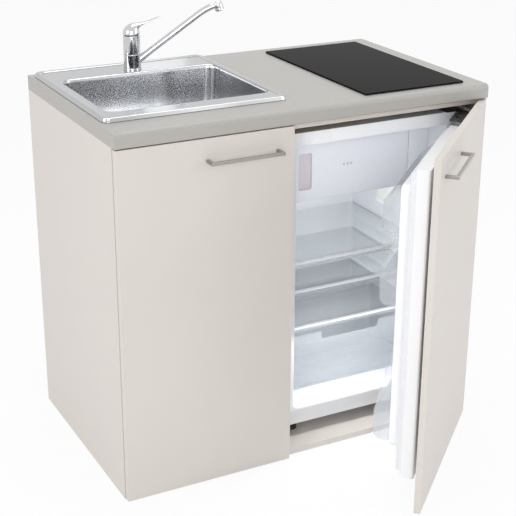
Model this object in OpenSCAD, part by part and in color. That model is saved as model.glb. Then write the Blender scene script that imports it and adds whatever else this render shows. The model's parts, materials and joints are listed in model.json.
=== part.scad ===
// Kitchenette unit: a one metre base cabinet with an inset sink, a single-lever tap, a two-zone glass hob
// and a fridge behind the right door. X runs to the right, Y to the back and Z up. The origin is on the floor
// under the middle of the worktop. The right door is drawn open, and the fridge door follows it.

/* [Cabinet] */
// Width of the whole unit
unit_w = 1000; // [950:1:1200]
// Depth of the worktop
unit_d = 600; // [580:1:720]
// Height of the worktop surface above the floor
unit_h = 930; // [860:1:1000]
// Thickness of the worktop
worktop_t = 36; // [28:1:40]
// Radius of the worktop's upper front edge
worktop_edge_r = 12; // [4:1:14]
// Thickness of the side panels, partition, bottom board and rails
board_t = 16; // [15:0.5:19]
// Thickness of the back panel
back_t = 3; // [3:0.5:8]
// Distance from the left end to the seam between the doors
left_bay_w = 450; // [440:1:480]
// Setback of the door fronts behind the worktop's front edge
door_setback = 4; // [0:0.5:20]
// Clearance between a closed door and the front edges of the panels
door_seat_gap = 2; // [1.5:0.1:3]
// Depth of the flat front rail over the sink cupboard
sink_rail_d = 50; // [40:1:60]
// Depth of the flat front rail over the fridge
fridge_rail_d = 24; // [18:1:30]
// Height of the upright rear rails
rear_rail_h = 100; // [60:1:120]

/* [Doors] */
// Thickness of the two furniture doors
door_t = 16; // [16:0.5:19]
// Gap all round each furniture door
door_gap = 1.5; // [1:0.1:3]
// Clearance under the furniture doors
door_floor_gap = 2; // [2:0.5:20]
// Angle that the right door stands open
open_angle = 43; // [20:1:60]
// Distance of a furniture door's turning axis from its edge
door_axis_in = 4.5; // [4:0.1:6]
// Diameter of the hinge cups in the left door
left_cup_d = 35; // [26:1:35]
// Diameter of the hinge cups in the right door
right_cup_d = 26; // [24:1:26]
// Length of a bow handle
handle_l = 188; // [120:1:220]
// Thickness of a bow handle's square bar
handle_bar = 8; // [6:0.5:12]
// Clear depth behind a bow handle
handle_reach = 24; // [22:1:40]
// Height of the handles above the floor
handle_z = 838; // [700:1:842]

/* [Sink] */
// Width of the sink's rim
sink_w = 468; // [460:1:472]
// Depth of the sink's rim
sink_d = 500; // [480:1:510]
// Distance from the worktop's left end to the rim
sink_left = 10; // [8:1:14]
// Distance from the worktop's front edge to the rim
sink_front = 88; // [70:1:92]
// Height of the rim above the worktop
sink_rim_h = 8; // [4:0.5:10]
// Width of the bowl
bowl_w = 417; // [380:1:420]
// Front-to-back size of the bowl
bowl_d = 326; // [300:1:335]
// Depth of the bowl
bowl_h = 150; // [120:1:170]
// Rim left of the bowl
bowl_left_rim = 35; // [30:1:40]
// Rim in front of the bowl
bowl_front_rim = 62; // [50:1:66]
// Corner radius of the bowl
bowl_r = 28; // [20:1:50]
// Thickness of the steel sheet
steel_t = 1; // [0.8:0.1:1.5]
// Diameter of the hole for the waste
waste_hole_d = 90; // [80:1:92]
// Outer diameter of the outlet pipe
outlet_d = 40; // [32:1:50]
// Height of the outlet pipe above the floor
outlet_z = 520; // [450:1:560]

/* [Tap] */
// Diameter of the tap's body
tap_d = 44; // [40:1:50]
// Height of the tap's body above the rim
tap_body_h = 87; // [80:1:100]
// Distance from the sink's rear edge to the tap's axis
tap_back = 72; // [50:1:75]
// Direction of the spout, measured from the right towards the front
spout_turn = 19; // [0:1:40]
// Diameter of the spout tube
spout_d = 13; // [12:0.5:16]
// Slope of the spout's straight part
spout_slope = 36; // [25:1:45]
// Length of the spout's straight part from the tap's axis
spout_straight = 214; // [150:1:240]
// Bending radius at the spout's end
spout_bend_r = 150; // [100:5:200]
// Slope at the spout's end
spout_end_slope = 18; // [10:1:24]
// Diameter of the nozzle
nozzle_d = 22; // [20:0.5:26]
// Length of the nozzle
nozzle_l = 24; // [20:1:30]
// Reach of the lever from the tap's axis
lever_reach = 76; // [60:1:100]

/* [Hob] */
// Width of the glass
hob_w = 290; // [280:1:300]
// Depth of the glass
hob_d = 520; // [500:1:525]
// Thickness of the glass
hob_glass_t = 4; // [4:0.5:6]
// Distance from the worktop's right end to the glass
hob_right = 49; // [40:1:120]
// Distance from the worktop's front edge to the glass
hob_front = 37; // [35:1:50]
// Depth of the casing below the glass
hob_case_h = 46; // [40:1:52]
// Diameter of the large cooking zone
large_zone_d = 180; // [160:1:190]
// Diameter of the small cooking zone
small_zone_d = 145; // [120:1:150]

/* [Fridge] */
// Width of the fridge
fridge_w = 500; // [480:1:500]
// Clearance between the fridge and the right side panel
fridge_side_gap = 12; // [10:0.5:14]
// Air gap between the fridge and the worktop
fridge_top_gap = 44; // [40:1:60]
// Air gap behind the fridge
fridge_back_gap = 45; // [40:1:60]
// Height of the fridge's feet
fridge_foot_h = 38; // [25:1:45]
// Thickness of the insulated side walls
fridge_wall = 34; // [30:1:36]
// Thickness of the insulated wall beside the partition
partition_side_wall = 20; // [18:1:36]
// Height of the sill under the fridge's cavity
sill_h = 50; // [46:1:60]
// Thickness of the fridge door's slab
fridge_door_t = 34; // [30:1:34]
// Height of the freezer flap
flap_h = 168; // [140:1:180]
// Width of the freezer flap
flap_w = 364; // [310:1:366]
// Distance from the cavity's front to the flap and shelves
shelf_setback = 80; // [78:1:100]
// Height of the crisper drawer
crisper_h = 160; // [130:1:162]
// Height of the upper shelf above the cavity's floor
upper_shelf_h = 366; // [340:1:368]
// Height of the middle shelf above the cavity's floor
middle_shelf_h = 286; // [256:1:291]

/* [Hidden] */
$fn = 48;

fit = 0.05;          // running clearance of a pin in its bore, on the radius
seat = 0.3;          // clearance between parts that only sit beside each other
cut = 1;             // how far a cutting shape reaches past the face it cuts

// cabinet
left_x = -unit_w / 2;
right_x = unit_w / 2;
front_y = -unit_d / 2;
back_y = unit_d / 2;
worktop_z = unit_h - worktop_t;
seam_x = left_x + left_bay_w;
door_front_y = front_y + door_setback;
door_back_y = door_front_y + door_t;
panel_front_y = door_back_y + door_seat_gap;
panel_back_y = back_y - back_t;
part_l = seam_x - board_t / 2;
part_r = seam_x + board_t / 2;
niche_r = right_x - board_t;
bay_l = left_x + board_t;
rail_z = worktop_z - board_t;
dowel_r = 4;
dowel_l = 30;
dowel_in_side = 11;
dowel_ys = [panel_front_y + 60, 0, panel_back_y - 60];
rear_rail_y = panel_back_y - board_t / 2;
rear_rail_mid = worktop_z - rear_rail_h / 2;
front_dowel_y = panel_front_y + 12;
rail_mid = rail_z + board_t / 2;
// each dowel: where it crosses the joint, the direction it goes in and its depth behind the joint
dowels = concat(
    [for (y = dowel_ys) [[bay_l, y, board_t / 2], [1, 0, 0]]],
    [for (y = dowel_ys) [[niche_r, y, board_t / 2], [-1, 0, 0]]],
    [for (y = dowel_ys) [[seam_x, y, board_t], [0, 0, 1]]],
    [[[bay_l, front_dowel_y, rail_mid], [1, 0, 0]],
     [[niche_r, front_dowel_y, rail_mid], [-1, 0, 0]],
     [[bay_l, rear_rail_y, rear_rail_mid], [1, 0, 0]],
     [[niche_r, rear_rail_y, rear_rail_mid], [-1, 0, 0]]]);
screw_r = 2;
screw_head_r = 4;
screw_head_h = 2.4;
screw_head_out = 1;
handle_screw_in = 14;
worktop_screw_l = 34;
rail_screw_y = panel_front_y + 12;
worktop_screw_xs = [bay_l + 60, part_l - 60, part_r + 60, niche_r - 60];

// doors, closed
left_door_x = [left_x + door_gap, seam_x - door_gap];
right_door_x = [seam_x + door_gap, right_x - door_gap];
door_z = [door_floor_gap, worktop_z - 2 * door_gap];
axis_y = door_front_y + door_t / 2;
left_axis_x = left_door_x[0] + door_axis_in;
right_axis_x = right_door_x[1] - door_axis_in;
cup_edge = 5;
cup_depth = 11.5;
cup_wall = 1.2;
cup_flange = 1.2;
cup_plate = [10, 8];        // half width of a cup's flange, and how far it reaches past the cup
arm_w = 6.5;
arm_h = 12;
arm_gap = 2;
arm_back = 70;
left_hinge_zs = [100, door_z[1] - 100];
right_hinge_zs = [38, worktop_z - 28];
left_handle_x = [seam_x - 230, seam_x - 230 + handle_l];
right_handle_x = [seam_x + 48, seam_x + 48 + handle_l];

// fridge
fr_r = niche_r - fridge_side_gap;
fr_l = fr_r - fridge_w;
fr_door_y = door_back_y + 1.5;
fr_slab_back = fr_door_y + fridge_door_t;
gasket_t = 13;
fr_front = fr_slab_back + gasket_t + 0.5;
fr_back = panel_back_y - fridge_back_gap + back_t;
fr_bottom = board_t + fridge_foot_h;
fr_top = worktop_z - fridge_top_gap;
fridge_pin_r = 4;
fr_axis_x = fr_r - 2 * fridge_pin_r;
fr_axis_y = fr_door_y + 16.5;
slab_z = [fr_bottom + 10, fr_top - 2];
liner_t = 2;
cav_l = fr_l + partition_side_wall + liner_t;
cav_r = fr_r - fridge_wall - liner_t - 4;
cav_front = fr_front;
cav_back = fr_back - 42;
cav_floor = fr_bottom + sill_h;
cav_top = fr_top - 34;
hump_y = cav_back - 120;
bay_y = fr_back - 130;
bay_z = fr_bottom + 156;
hump_z = bay_z + 30;
kick_h = 43;
flap_y = cav_front + shelf_setback;
flap_t = 12;
flap_top = cav_top - 8;
flap_bottom = flap_top - flap_h;
flap_l = cav_l + 12;
flap_axis = [flap_l + flap_w - 4, flap_y + flap_t / 2];
flap_pin_r = 2.5;
shelf_y = [flap_y, cav_back - 4];
shelf_x = [cav_l + 2, cav_r - 2];
glass_t = 4;
shelf_zs = [cav_floor + crisper_h + 22, cav_floor + middle_shelf_h, cav_floor + upper_shelf_h];
trim_hs = [14, 22, 14];
rib_d = 7;
rib_h = 5;
liner_dam_z = [cav_floor + 20, cav_top - 18];
dam_x = [cav_l + 7, cav_r - 6];
dam_w = 16;
dam_y = fr_slab_back + 38;
bin_x = [dam_x[0] + dam_w + seat, dam_x[1] - dam_w - seat];
bin_y = cav_front + shelf_setback - 12;
bin_wall = 2;
bin_toe = 12;
bin_lean = 36;
// each bin: its bottom, the height of its front and the height of its sides
bins = [[liner_dam_z[0] + 8, 76, 236], [liner_dam_z[0] + 368, 72, 180],
        [liner_dam_z[1] - 122, 72, 108]];
knob_r = 14;
thermo_x = cav_r - 34;
thermo_y = [flap_y + 40, flap_y + 190];
thermo_z = [flap_bottom - 110, flap_bottom - 6];
knob_at = [thermo_x, thermo_y[0] + 45, thermo_z[0] + 45];
crisper_x = [cav_l + 10, cav_r - 10];
crisper_y = [shelf_y[0] + 2, hump_y - 6];
crisper_z = [cav_floor + seat, cav_floor + seat + crisper_h];
guide_z = slab_z[1] + 10;
guide_t = 4;
guide_pin_r = 3;
guide_pin_at = [fr_axis_x - 75, fr_axis_y + 10];
compressor_at = [fr_r - 130, fr_back - 66];
tube_r = 2.5;
bay_side = 14;              // sheet left at the sides of the machine bay
kick_in = 6;
foot_rod_r = 4;
foot_hole_l = 13;

// sink, tap and waste
sink_l = left_x + sink_left;
sink_f = front_y + sink_front;
sink_top = unit_h + sink_rim_h;
bowl_l = sink_l + bowl_left_rim;
bowl_f = sink_f + bowl_front_rim;
bowl_c = [bowl_l + bowl_w / 2, bowl_f + bowl_d / 2];
bowl_bottom = sink_top - bowl_h;
sink_cut_in = 12;
bowl_notch = 12;            // room left round the bowl in the partition
// how far the sink clips' claws reach under the worktop, at the front, the sides and the rear
clip_clear = 1;
front_claw = 14;
side_claw = sink_l + sink_cut_in - bay_l - clip_clear;
rear_claw = panel_back_y - board_t - (sink_f + sink_d - sink_cut_in) - clip_clear;
tap_at = [bowl_c[0], sink_f + sink_d - tap_back];
tap_hole_r = 17.5;
waste_z = bowl_bottom - steel_t;
waste_bore_r = waste_hole_d / 2 - 4;
waste_flange_r = waste_hole_d / 2 + 11;
waste_flange_t = 2;
waste_cup_h = 50;
waste_cup_wall = 7;
strainer_r = waste_bore_r - 1;
strainer_h = 24;
tail_r = 22;                // tube from the waste down into the trap
tail_wall = 4;
branch_z = waste_z - 34;    // where the overflow joins the waste
branch_end = bowl_c[1] + 70;
overflow_z = sink_top - 45;
overflow_hole_r = 12;
trap_top = waste_z - 90;
trap_r = 32;
trap_wall = 3;
trap_neck_r = tail_r + 3;
trap_bottom = outlet_z - 90;
outlet_wall = 2;
wall_y = back_y;

// tap
tap_r = tap_d / 2;
tap_flange_h = 5;
stem_r = tap_r - 4;
collar_z = [sink_top + tap_flange_h + seat, sink_top + tap_flange_h + 34];
tap_top = sink_top + tap_body_h;
spout_z = collar_z[0] + 6;
cartridge_r = 17;
cartridge_h = 38;
handle_rim = tap_top + 3;
handle_top = handle_rim + 20;
handle_dome_r = 8;
handle_wall = 2.5;
lever_w = 18;
lever_t = 5;
lever_rise = 14;
lift_axis = [-14, handle_rim + 6.5];
lift_pin_r = 2;
lift_pin_half = 15.5;
tube_wall = 2;
inlet_r = 5;
tap_inlet_xs = [-6.5, 6.5];
stud_r = 3;
stud_y = 10;

// hob
hob_r = right_x - hob_right;
hob_l = hob_r - hob_w;
hob_f = front_y + hob_front;
hob_b = hob_f + hob_d;
hob_seal_t = 1;
hob_glass_z = unit_h + hob_seal_t;
hob_case_in = 15;
hob_cut_in = 10;
hob_sheet = 1;
gland_r = 8;
hob_case_z = hob_glass_z - hob_case_h;
zones = [[large_zone_d / 2, hob_f + 130], [small_zone_d / 2, hob_b - 120]];
hob_mid = (hob_l + hob_r) / 2;

// ---------- shapes used in several places ----------

module block(lo, hi) {
    translate(lo) cube(hi - lo);
}

module rounded_plate(lo, hi, r) {
    translate([0, 0, lo[2]]) linear_extrude(hi[2] - lo[2]) rounded_area(lo, hi, r);
}

module rounded_area(lo, hi, r) {
    translate([lo[0] + r, lo[1]]) square([hi[0] - lo[0] - 2 * r, hi[1] - lo[1]]);
    translate([lo[0], lo[1] + r]) square([hi[0] - lo[0], hi[1] - lo[1] - 2 * r]);
    for (x = [lo[0] + r, hi[0] - r], y = [lo[1] + r, hi[1] - r]) translate([x, y]) circle(r);
}

module rod(from, direction, length, r) {
    turn = direction[0] != 0 ? [0, 90 * sign(direction[0]), 0]
         : direction[1] != 0 ? [-90 * sign(direction[1]), 0, 0]
         : [0, direction[2] > 0 ? 0 : 180, 0];
    translate(from) rotate(turn) cylinder(r = r, h = length);
}

module ring(z0, z1, outer_r, inner_r) {
    difference() {
        translate([0, 0, z0]) cylinder(r = outer_r, h = z1 - z0);
        translate([0, 0, z0 - cut]) cylinder(r = inner_r, h = z1 - z0 + 2 * cut);
    }
}

module turned_about(x, y, angle) {
    translate([x, y, 0]) rotate([0, 0, angle]) translate([-x, -y, 0]) children();
}

module right_door_pose() {
    turned_about(right_axis_x, axis_y, open_angle) children();
}

module fridge_door_pose() {
    turned_about(fr_axis_x, fr_axis_y, open_angle) children();
}

module dowel_set(grow) {
    for (d = dowels)
        rod(d[0] - d[1] * (dowel_in_side + grow), d[1], dowel_l + 2 * grow, dowel_r + grow);
}

// ---------- cabinet ----------

module left_side_panel() {
    color([0.85, 0.82, 0.79]) difference() {
        block([left_x, panel_front_y, 0], [bay_l, panel_back_y, worktop_z]);
        dowel_set(fit);
    }
}

module right_side_panel() {
    color([0.85, 0.82, 0.79]) difference() {
        block([niche_r, panel_front_y, 0], [right_x, panel_back_y, worktop_z]);
        dowel_set(fit);
    }
}

// The partition is notched where the bowl passes over it.
module partition() {
    notch_z = bowl_bottom - bowl_notch;
    color([0.85, 0.82, 0.79]) difference() {
        block([part_l, panel_front_y, board_t], [part_r, panel_back_y, worktop_z]);
        block([part_l - cut, bowl_f - bowl_notch, notch_z],
              [part_r + cut, bowl_f + bowl_d + bowl_notch, worktop_z + cut]);
        dowel_set(fit);
    }
}

module bottom_board() {
    color([0.88, 0.86, 0.83]) difference() {
        block([bay_l, panel_front_y, 0], [niche_r, panel_back_y, board_t]);
        dowel_set(fit);
    }
}

// The back is open behind the fridge for air, and has a hole for the water and waste pipes.
module back_panel() {
    color([0.8, 0.78, 0.75]) difference() {
        block([left_x, panel_back_y, 0], [right_x, back_y, worktop_z]);
        block([fr_l + 30, panel_back_y - cut, fr_bottom + 30], [fr_r - 30, back_y + cut, fr_top - 60]);
        rounded_opening(bowl_c[0], outlet_z + 40);
    }
}

module rounded_opening(x, z) {
    for (dx = [-70, 70]) translate([x + dx, panel_back_y - cut, z]) rotate([-90, 0, 0])
        cylinder(r = 70, h = back_t + 2 * cut);
    block([x - 70, panel_back_y - cut, z - 70], [x + 70, back_y + cut, z + 70]);
}

module top_rails() {
    bays = [[bay_l, part_l, sink_rail_d], [part_r, niche_r, fridge_rail_d]];
    color([0.85, 0.82, 0.79]) difference() {
        for (b = bays) {
            block([b[0], panel_front_y, rail_z], [b[1], panel_front_y + b[2], worktop_z]);
            block([b[0], panel_back_y - board_t, worktop_z - rear_rail_h], [b[1], panel_back_y, worktop_z]);
        }
        dowel_set(fit);
        worktop_screw_set(fit);
    }
}

module panel_dowels() {
    color([0.78, 0.62, 0.42]) dowel_set(0);
}

module worktop_screw_set(grow) {
    for (x = worktop_screw_xs) {
        rod([x, rail_screw_y, rail_z - screw_head_h - grow], [0, 0, 1], screw_head_h + grow,
            screw_head_r + grow);
        rod([x, rail_screw_y, rail_z - screw_head_h], [0, 0, 1], worktop_screw_l + grow, screw_r + grow);
    }
}

module worktop_screws() {
    color([0.75, 0.75, 0.72]) worktop_screw_set(0);
}

// Laminated board with a rounded front edge, and cut-outs for the sink and the hob.
module worktop() {
    r = worktop_edge_r;
    sink_cut = [[sink_l + sink_cut_in, sink_f + sink_cut_in],
                [sink_l + sink_w - sink_cut_in, sink_f + sink_d - sink_cut_in]];
    color([0.66, 0.64, 0.61]) difference() {
        translate([left_x, 0, 0]) rotate([90, 0, 90]) linear_extrude(unit_w) {
            translate([front_y + r, worktop_z]) square([unit_d - r, worktop_t]);
            translate([front_y, worktop_z]) square([2 * r, worktop_t - r]);
            translate([front_y + r, unit_h - r]) circle(r);
        }
        rounded_plate(concat(sink_cut[0], [worktop_z - cut]), concat(sink_cut[1], [unit_h + cut]), 20);
        rounded_plate([hob_l + hob_cut_in, hob_f + hob_cut_in, worktop_z - cut],
                      [hob_r - hob_cut_in, hob_b - hob_cut_in, unit_h + cut], 12);
        worktop_screw_set(fit);
    }
}

// ---------- furniture doors ----------

module door_panel(x, handle_x, cup_x, hinge_zs, cup_d) {
    difference() {
        block([x[0], door_front_y, door_z[0]], [x[1], door_back_y, door_z[1]]);
        for (z = hinge_zs) rod([cup_x, door_back_y + cut, z], [0, -1, 0], cup_depth + cut, cup_d / 2);
        for (hx = handle_feet(handle_x))
            rod([hx, door_front_y - cut, handle_z], [0, 1, 0], door_t + 2 * cut, screw_r + 0.3);
    }
}

function handle_feet(x) = [x[0] + handle_bar / 2, x[1] - handle_bar / 2];

module bow_handle(x) {
    bar_y = door_front_y - handle_reach - handle_bar;
    half = handle_bar / 2;
    color([0.86, 0.86, 0.87]) difference() {
        union() {
            block([x[0], bar_y, handle_z - half], [x[1], bar_y + handle_bar, handle_z + half]);
            for (hx = handle_feet(x))
                block([hx - half, bar_y, handle_z - half], [hx + half, door_front_y, handle_z + half]);
        }
        for (hx = handle_feet(x))
            rod([hx, door_front_y + cut, handle_z], [0, -1, 0], handle_screw_in + 2 + cut, screw_r + fit);
    }
}

module handle_screw_set(x) {
    color([0.75, 0.75, 0.72]) for (hx = handle_feet(x)) {
        rod([hx, door_back_y, handle_z], [0, -1, 0], door_t + handle_screw_in, screw_r);
        rod([hx, door_back_y, handle_z], [0, 1, 0], screw_head_out, screw_head_r);
    }
}

// A hinge cup is a pressed steel pot let into the door, with a flange that is screwed to the door's back.
module hinge_cup(cup_x, z, cup_d) {
    outer_r = cup_d / 2 - fit;
    color([0.72, 0.72, 0.73]) difference() {
        union() {
            rod([cup_x, door_back_y, z], [0, -1, 0], cup_depth - fit, outer_r);
            block([cup_x - cup_plate[0], door_back_y, z - outer_r - cup_plate[1]],
                  [cup_x + cup_plate[0], door_back_y + cup_flange, z + outer_r + cup_plate[1]]);
            rod([cup_x, door_back_y, z], [0, 1, 0], cup_flange, outer_r);
        }
        rod([cup_x, door_back_y + cup_flange + cut, z], [0, -1, 0],
            cup_depth - cup_wall + cup_flange + cut, outer_r - cup_wall);
    }
}

// A hinge arm stands on its mounting plate on the side panel and reaches into the cup.
module hinge_arm(panel_x, inward, z) {
    tip_y = axis_y - 1;
    x_near = panel_x + inward * arm_gap;
    x_far = panel_x + inward * (arm_gap + arm_w);
    plate_y = [panel_front_y + 24, panel_front_y + arm_back];
    color([0.72, 0.72, 0.73]) {
        block([min(x_near, x_far), tip_y, z - arm_h / 2],
              [max(x_near, x_far), plate_y[1], z + arm_h / 2]);
        block([min(panel_x, x_near), plate_y[0], z - arm_h / 2],
              [max(panel_x, x_near), plate_y[1], z + arm_h / 2]);
    }
}

left_cup_x = left_door_x[0] + cup_edge + left_cup_d / 2;
right_cup_x = right_door_x[1] - cup_edge - right_cup_d / 2;

module left_door() {
    color([0.85, 0.82, 0.79])
        door_panel(left_door_x, left_handle_x, left_cup_x, left_hinge_zs, left_cup_d);
}

module left_handle() {
    bow_handle(left_handle_x);
}

module left_handle_screws() {
    handle_screw_set(left_handle_x);
}

module left_hinge_cups() {
    for (z = left_hinge_zs) hinge_cup(left_cup_x, z, left_cup_d);
}

module left_hinge_arms() {
    for (z = left_hinge_zs) hinge_arm(bay_l, 1, z);
}

module right_door() {
    color([0.85, 0.82, 0.79]) right_door_pose()
        door_panel(right_door_x, right_handle_x, right_cup_x, right_hinge_zs, right_cup_d);
}

module right_handle() {
    right_door_pose() bow_handle(right_handle_x);
}

module right_handle_screws() {
    right_door_pose() handle_screw_set(right_handle_x);
}

module right_hinge_cups() {
    right_door_pose() for (z = right_hinge_zs) hinge_cup(right_cup_x, z, right_cup_d);
}

module right_hinge_arms() {
    for (z = right_hinge_zs) hinge_arm(niche_r, -1, z);
}

// The plate on the furniture door has a curved slot for the fridge door's pin. The two doors stay parallel,
// so the pin moves along an arc about the offset between their axes.
module door_guide_plate() {
    arc_r = norm([right_axis_x - fr_axis_x, fr_axis_y - axis_y]);
    start = atan2(fr_axis_y - axis_y, fr_axis_x - right_axis_x);
    centre = guide_pin_at - [fr_axis_x - right_axis_x, fr_axis_y - axis_y];
    slot_r = guide_pin_r + 0.5;
    spare = atan(slot_r / arc_r) + 2;
    sweep = 96 + 2 * spare;
    guide_x = [centre[0] - 46, centre[0] + 40];
    color([0.25, 0.25, 0.27]) right_door_pose() {
        difference() {
            block([guide_x[0], door_back_y, guide_z], [guide_x[1], centre[1] + arc_r + 9, guide_z + guide_t]);
            translate([centre[0], centre[1], guide_z - cut]) rotate(start + spare - sweep)
                rotate_extrude(angle = sweep) translate([arc_r - slot_r, 0])
                    square([2 * slot_r, guide_t + 2 * cut]);
        }
        block([guide_x[0], door_back_y, guide_z], [guide_x[1], door_back_y + 2.5, guide_z + 16]);
    }
}

// ---------- sink ----------

// Pressed steel sink: a raised flange with a rolled edge, a tap ledge and one bowl.
module sink_bowl() {
    lo = [sink_l, sink_f];
    hi = [sink_l + sink_w, sink_f + sink_d];
    bowl_lo = [bowl_l, bowl_f];
    bowl_hi = [bowl_l + bowl_w, bowl_f + bowl_d];
    t = steel_t;
    color([0.75, 0.76, 0.77]) difference() {
        union() {
            rounded_plate([lo[0], lo[1], unit_h + seat], [hi[0], hi[1], sink_top], 18);
            rounded_plate([bowl_lo[0] - t, bowl_lo[1] - t, bowl_bottom - t],
                          [bowl_hi[0] + t, bowl_hi[1] + t, sink_top - t], bowl_r + t);
        }
        difference() {
            rounded_plate([lo[0] + t, lo[1] + t, unit_h - cut], [hi[0] - t, hi[1] - t, sink_top - t], 17);
            rounded_plate([bowl_lo[0] - t, bowl_lo[1] - t, bowl_bottom - t],
                          [bowl_hi[0] + t, bowl_hi[1] + t, sink_top], bowl_r + t);
        }
        rounded_plate(concat(bowl_lo, [bowl_bottom]), concat(bowl_hi, [sink_top + cut]), bowl_r);
        rod([bowl_c[0], bowl_c[1], waste_z - cut], [0, 0, 1], steel_t + 2 * cut, waste_hole_d / 2);
        rod([tap_at[0], tap_at[1], sink_top + cut], [0, 0, -1], 6, tap_hole_r);
        rod([bowl_c[0], bowl_hi[1] - cut, overflow_z], [0, 1, 0], t + 3 * cut, overflow_hole_r);
    }
}

// Soft strip under the flange.
module sink_seal() {
    lo = [sink_l + 3, sink_f + 3];
    hi = [sink_l + sink_w - 3, sink_f + sink_d - 3];
    color([0.3, 0.3, 0.3]) difference() {
        rounded_plate([lo[0], lo[1], unit_h], [hi[0], hi[1], sink_top - steel_t], 15);
        rounded_plate([lo[0] + 6, lo[1] + 6, unit_h - cut], [hi[0] - 6, hi[1] - 6, sink_top], 9);
    }
}

// Spring clips that hold the sink down: a leg inside the cut-out and a claw under the worktop.
module sink_clip(claw) {
    leg_z = sink_top - steel_t;
    block([-6, 1, worktop_z - 6], [6, 3, leg_z]);
    block([-6, -claw, worktop_z - 3], [6, 1, worktop_z - seat]);
    block([-6, 3, leg_z - 3], [6, 10, leg_z]);
}

module sink_clips() {
    color([0.7, 0.7, 0.7]) {
        for (x = [sink_l + 110, sink_l + sink_w - 110]) {
            translate([x, sink_f + sink_cut_in, 0]) sink_clip(front_claw);
            translate([x, sink_f + sink_d - sink_cut_in, 0]) rotate(180) sink_clip(rear_claw);
        }
        for (dy = [-90, 90])
            translate([sink_l + sink_cut_in, bowl_c[1] + dy, 0]) rotate(-90) sink_clip(side_claw);
    }
}

// Flanged ring that clamps the bowl to the waste body.
module waste_flange() {
    color([0.78, 0.79, 0.8]) translate([bowl_c[0], bowl_c[1], 0]) {
        ring(bowl_bottom, bowl_bottom + waste_flange_t, waste_flange_r, waste_bore_r);
        ring(waste_z - 18, bowl_bottom, waste_hole_d / 2 - seat, waste_bore_r);
    }
}

// Lift-out strainer: a perforated cup with a knob.
module basket_strainer() {
    cup_r = strainer_r - 6;
    base_z = waste_z - strainer_h;
    color([0.8, 0.81, 0.82]) translate([bowl_c[0], bowl_c[1], 0]) {
        difference() {
            translate([0, 0, base_z])
                cylinder(r = cup_r, h = bowl_bottom + waste_flange_t + 0.5 - base_z);
            translate([0, 0, base_z + 1.2]) cylinder(r = cup_r - 1.2, h = 60);
            for (ring_r = [12, 22], k = [0:11]) rotate(30 * k) translate([ring_r, 0, base_z - cut])
                cylinder(r = 2, h = 4);
        }
        translate([0, 0, bowl_bottom + waste_flange_t])
            ring(seat, seat + 1.2, strainer_r + 3, cup_r - 0.5);
        translate([0, 0, base_z + 0.6]) cylinder(r = 3, h = bowl_bottom - base_z);
        translate([0, 0, bowl_bottom]) cylinder(r = 8, h = 8);
    }
}

// Plastic waste body under the bowl, with its outlet tube and the overflow branch.
module waste_body() {
    branch_root = 40;
    branch_l = branch_end - bowl_c[1] - branch_root;
    color([0.92, 0.92, 0.9]) translate([bowl_c[0], bowl_c[1], 0]) difference() {
        union() {
            translate([0, 0, waste_z - waste_cup_h])
                cylinder(r = waste_hole_d / 2 + 1 + waste_cup_wall, h = waste_cup_h);
            translate([0, 0, trap_top]) cylinder(r = tail_r, h = waste_z - waste_cup_h + 5 - trap_top);
            rod([0, branch_root, branch_z], [0, 1, 0], branch_l, 11);
        }
        translate([0, 0, waste_z - waste_cup_h + 3])
            cylinder(r = waste_hole_d / 2 + 1, h = waste_cup_h - 3 + cut);
        translate([0, 0, trap_top - cut]) cylinder(r = tail_r - tail_wall, h = 60);
        rod([0, branch_root, branch_z], [0, 1, 0], branch_l + cut, 8);
    }
}

// Overflow: a collar on the bowl's rear wall and a pipe down to the waste body.
module overflow_pipe() {
    wall = bowl_f + bowl_d + steel_t;
    pipe_y = branch_end + seat;
    drop_y = wall + 16;
    low_z = branch_z;
    color([0.92, 0.92, 0.9]) translate([bowl_c[0], 0, 0]) difference() {
        union() {
            rod([0, wall, overflow_z], [0, 1, 0], 6, 20);
            rod([0, wall, overflow_z], [0, 1, 0], 28, 13);
            rod([0, drop_y, low_z - 12], [0, 0, 1], overflow_z - low_z + 12, 11);
            rod([0, pipe_y, low_z], [0, 1, 0], drop_y - pipe_y, 9);
        }
        rod([0, wall - cut, overflow_z], [0, 1, 0], 18, 10);
        rod([0, drop_y, low_z - 10], [0, 0, 1], overflow_z - low_z + 8, 8.5);
        rod([0, pipe_y - cut, low_z], [0, 1, 0], drop_y - pipe_y, 7);
    }
}

// Bottle trap with a screwed cup, and the pipe that leads to the wall.
module drain_trap() {
    out_y = bowl_c[1] + trap_r;
    color([0.92, 0.92, 0.9]) translate([bowl_c[0], 0, 0]) difference() {
        union() {
            translate([0, bowl_c[1], trap_bottom]) cylinder(r = trap_r, h = outlet_z + 40 - trap_bottom);
            translate([0, bowl_c[1], trap_bottom + 20]) cylinder(r = trap_r + 4, h = 22);
            translate([0, bowl_c[1], outlet_z + 40]) cylinder(r = trap_neck_r, h = trap_top - outlet_z - 10);
            rod([0, bowl_c[1], outlet_z], [0, 1, 0], wall_y - bowl_c[1], outlet_d / 2);
            rod([0, out_y, outlet_z], [0, 1, 0], 26, outlet_d / 2 + 5);
        }
        translate([0, bowl_c[1], trap_bottom + 4])
            cylinder(r = trap_r - trap_wall, h = outlet_z + 32 - trap_bottom);
        translate([0, bowl_c[1], outlet_z]) cylinder(r = tail_r + seat, h = 300);
        rod([0, bowl_c[1], outlet_z], [0, 1, 0], wall_y, outlet_d / 2 - outlet_wall);
    }
}

// ---------- tap ----------

module at_tap() {
    translate([tap_at[0], tap_at[1], 0]) rotate(-spout_turn) children();
}

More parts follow.
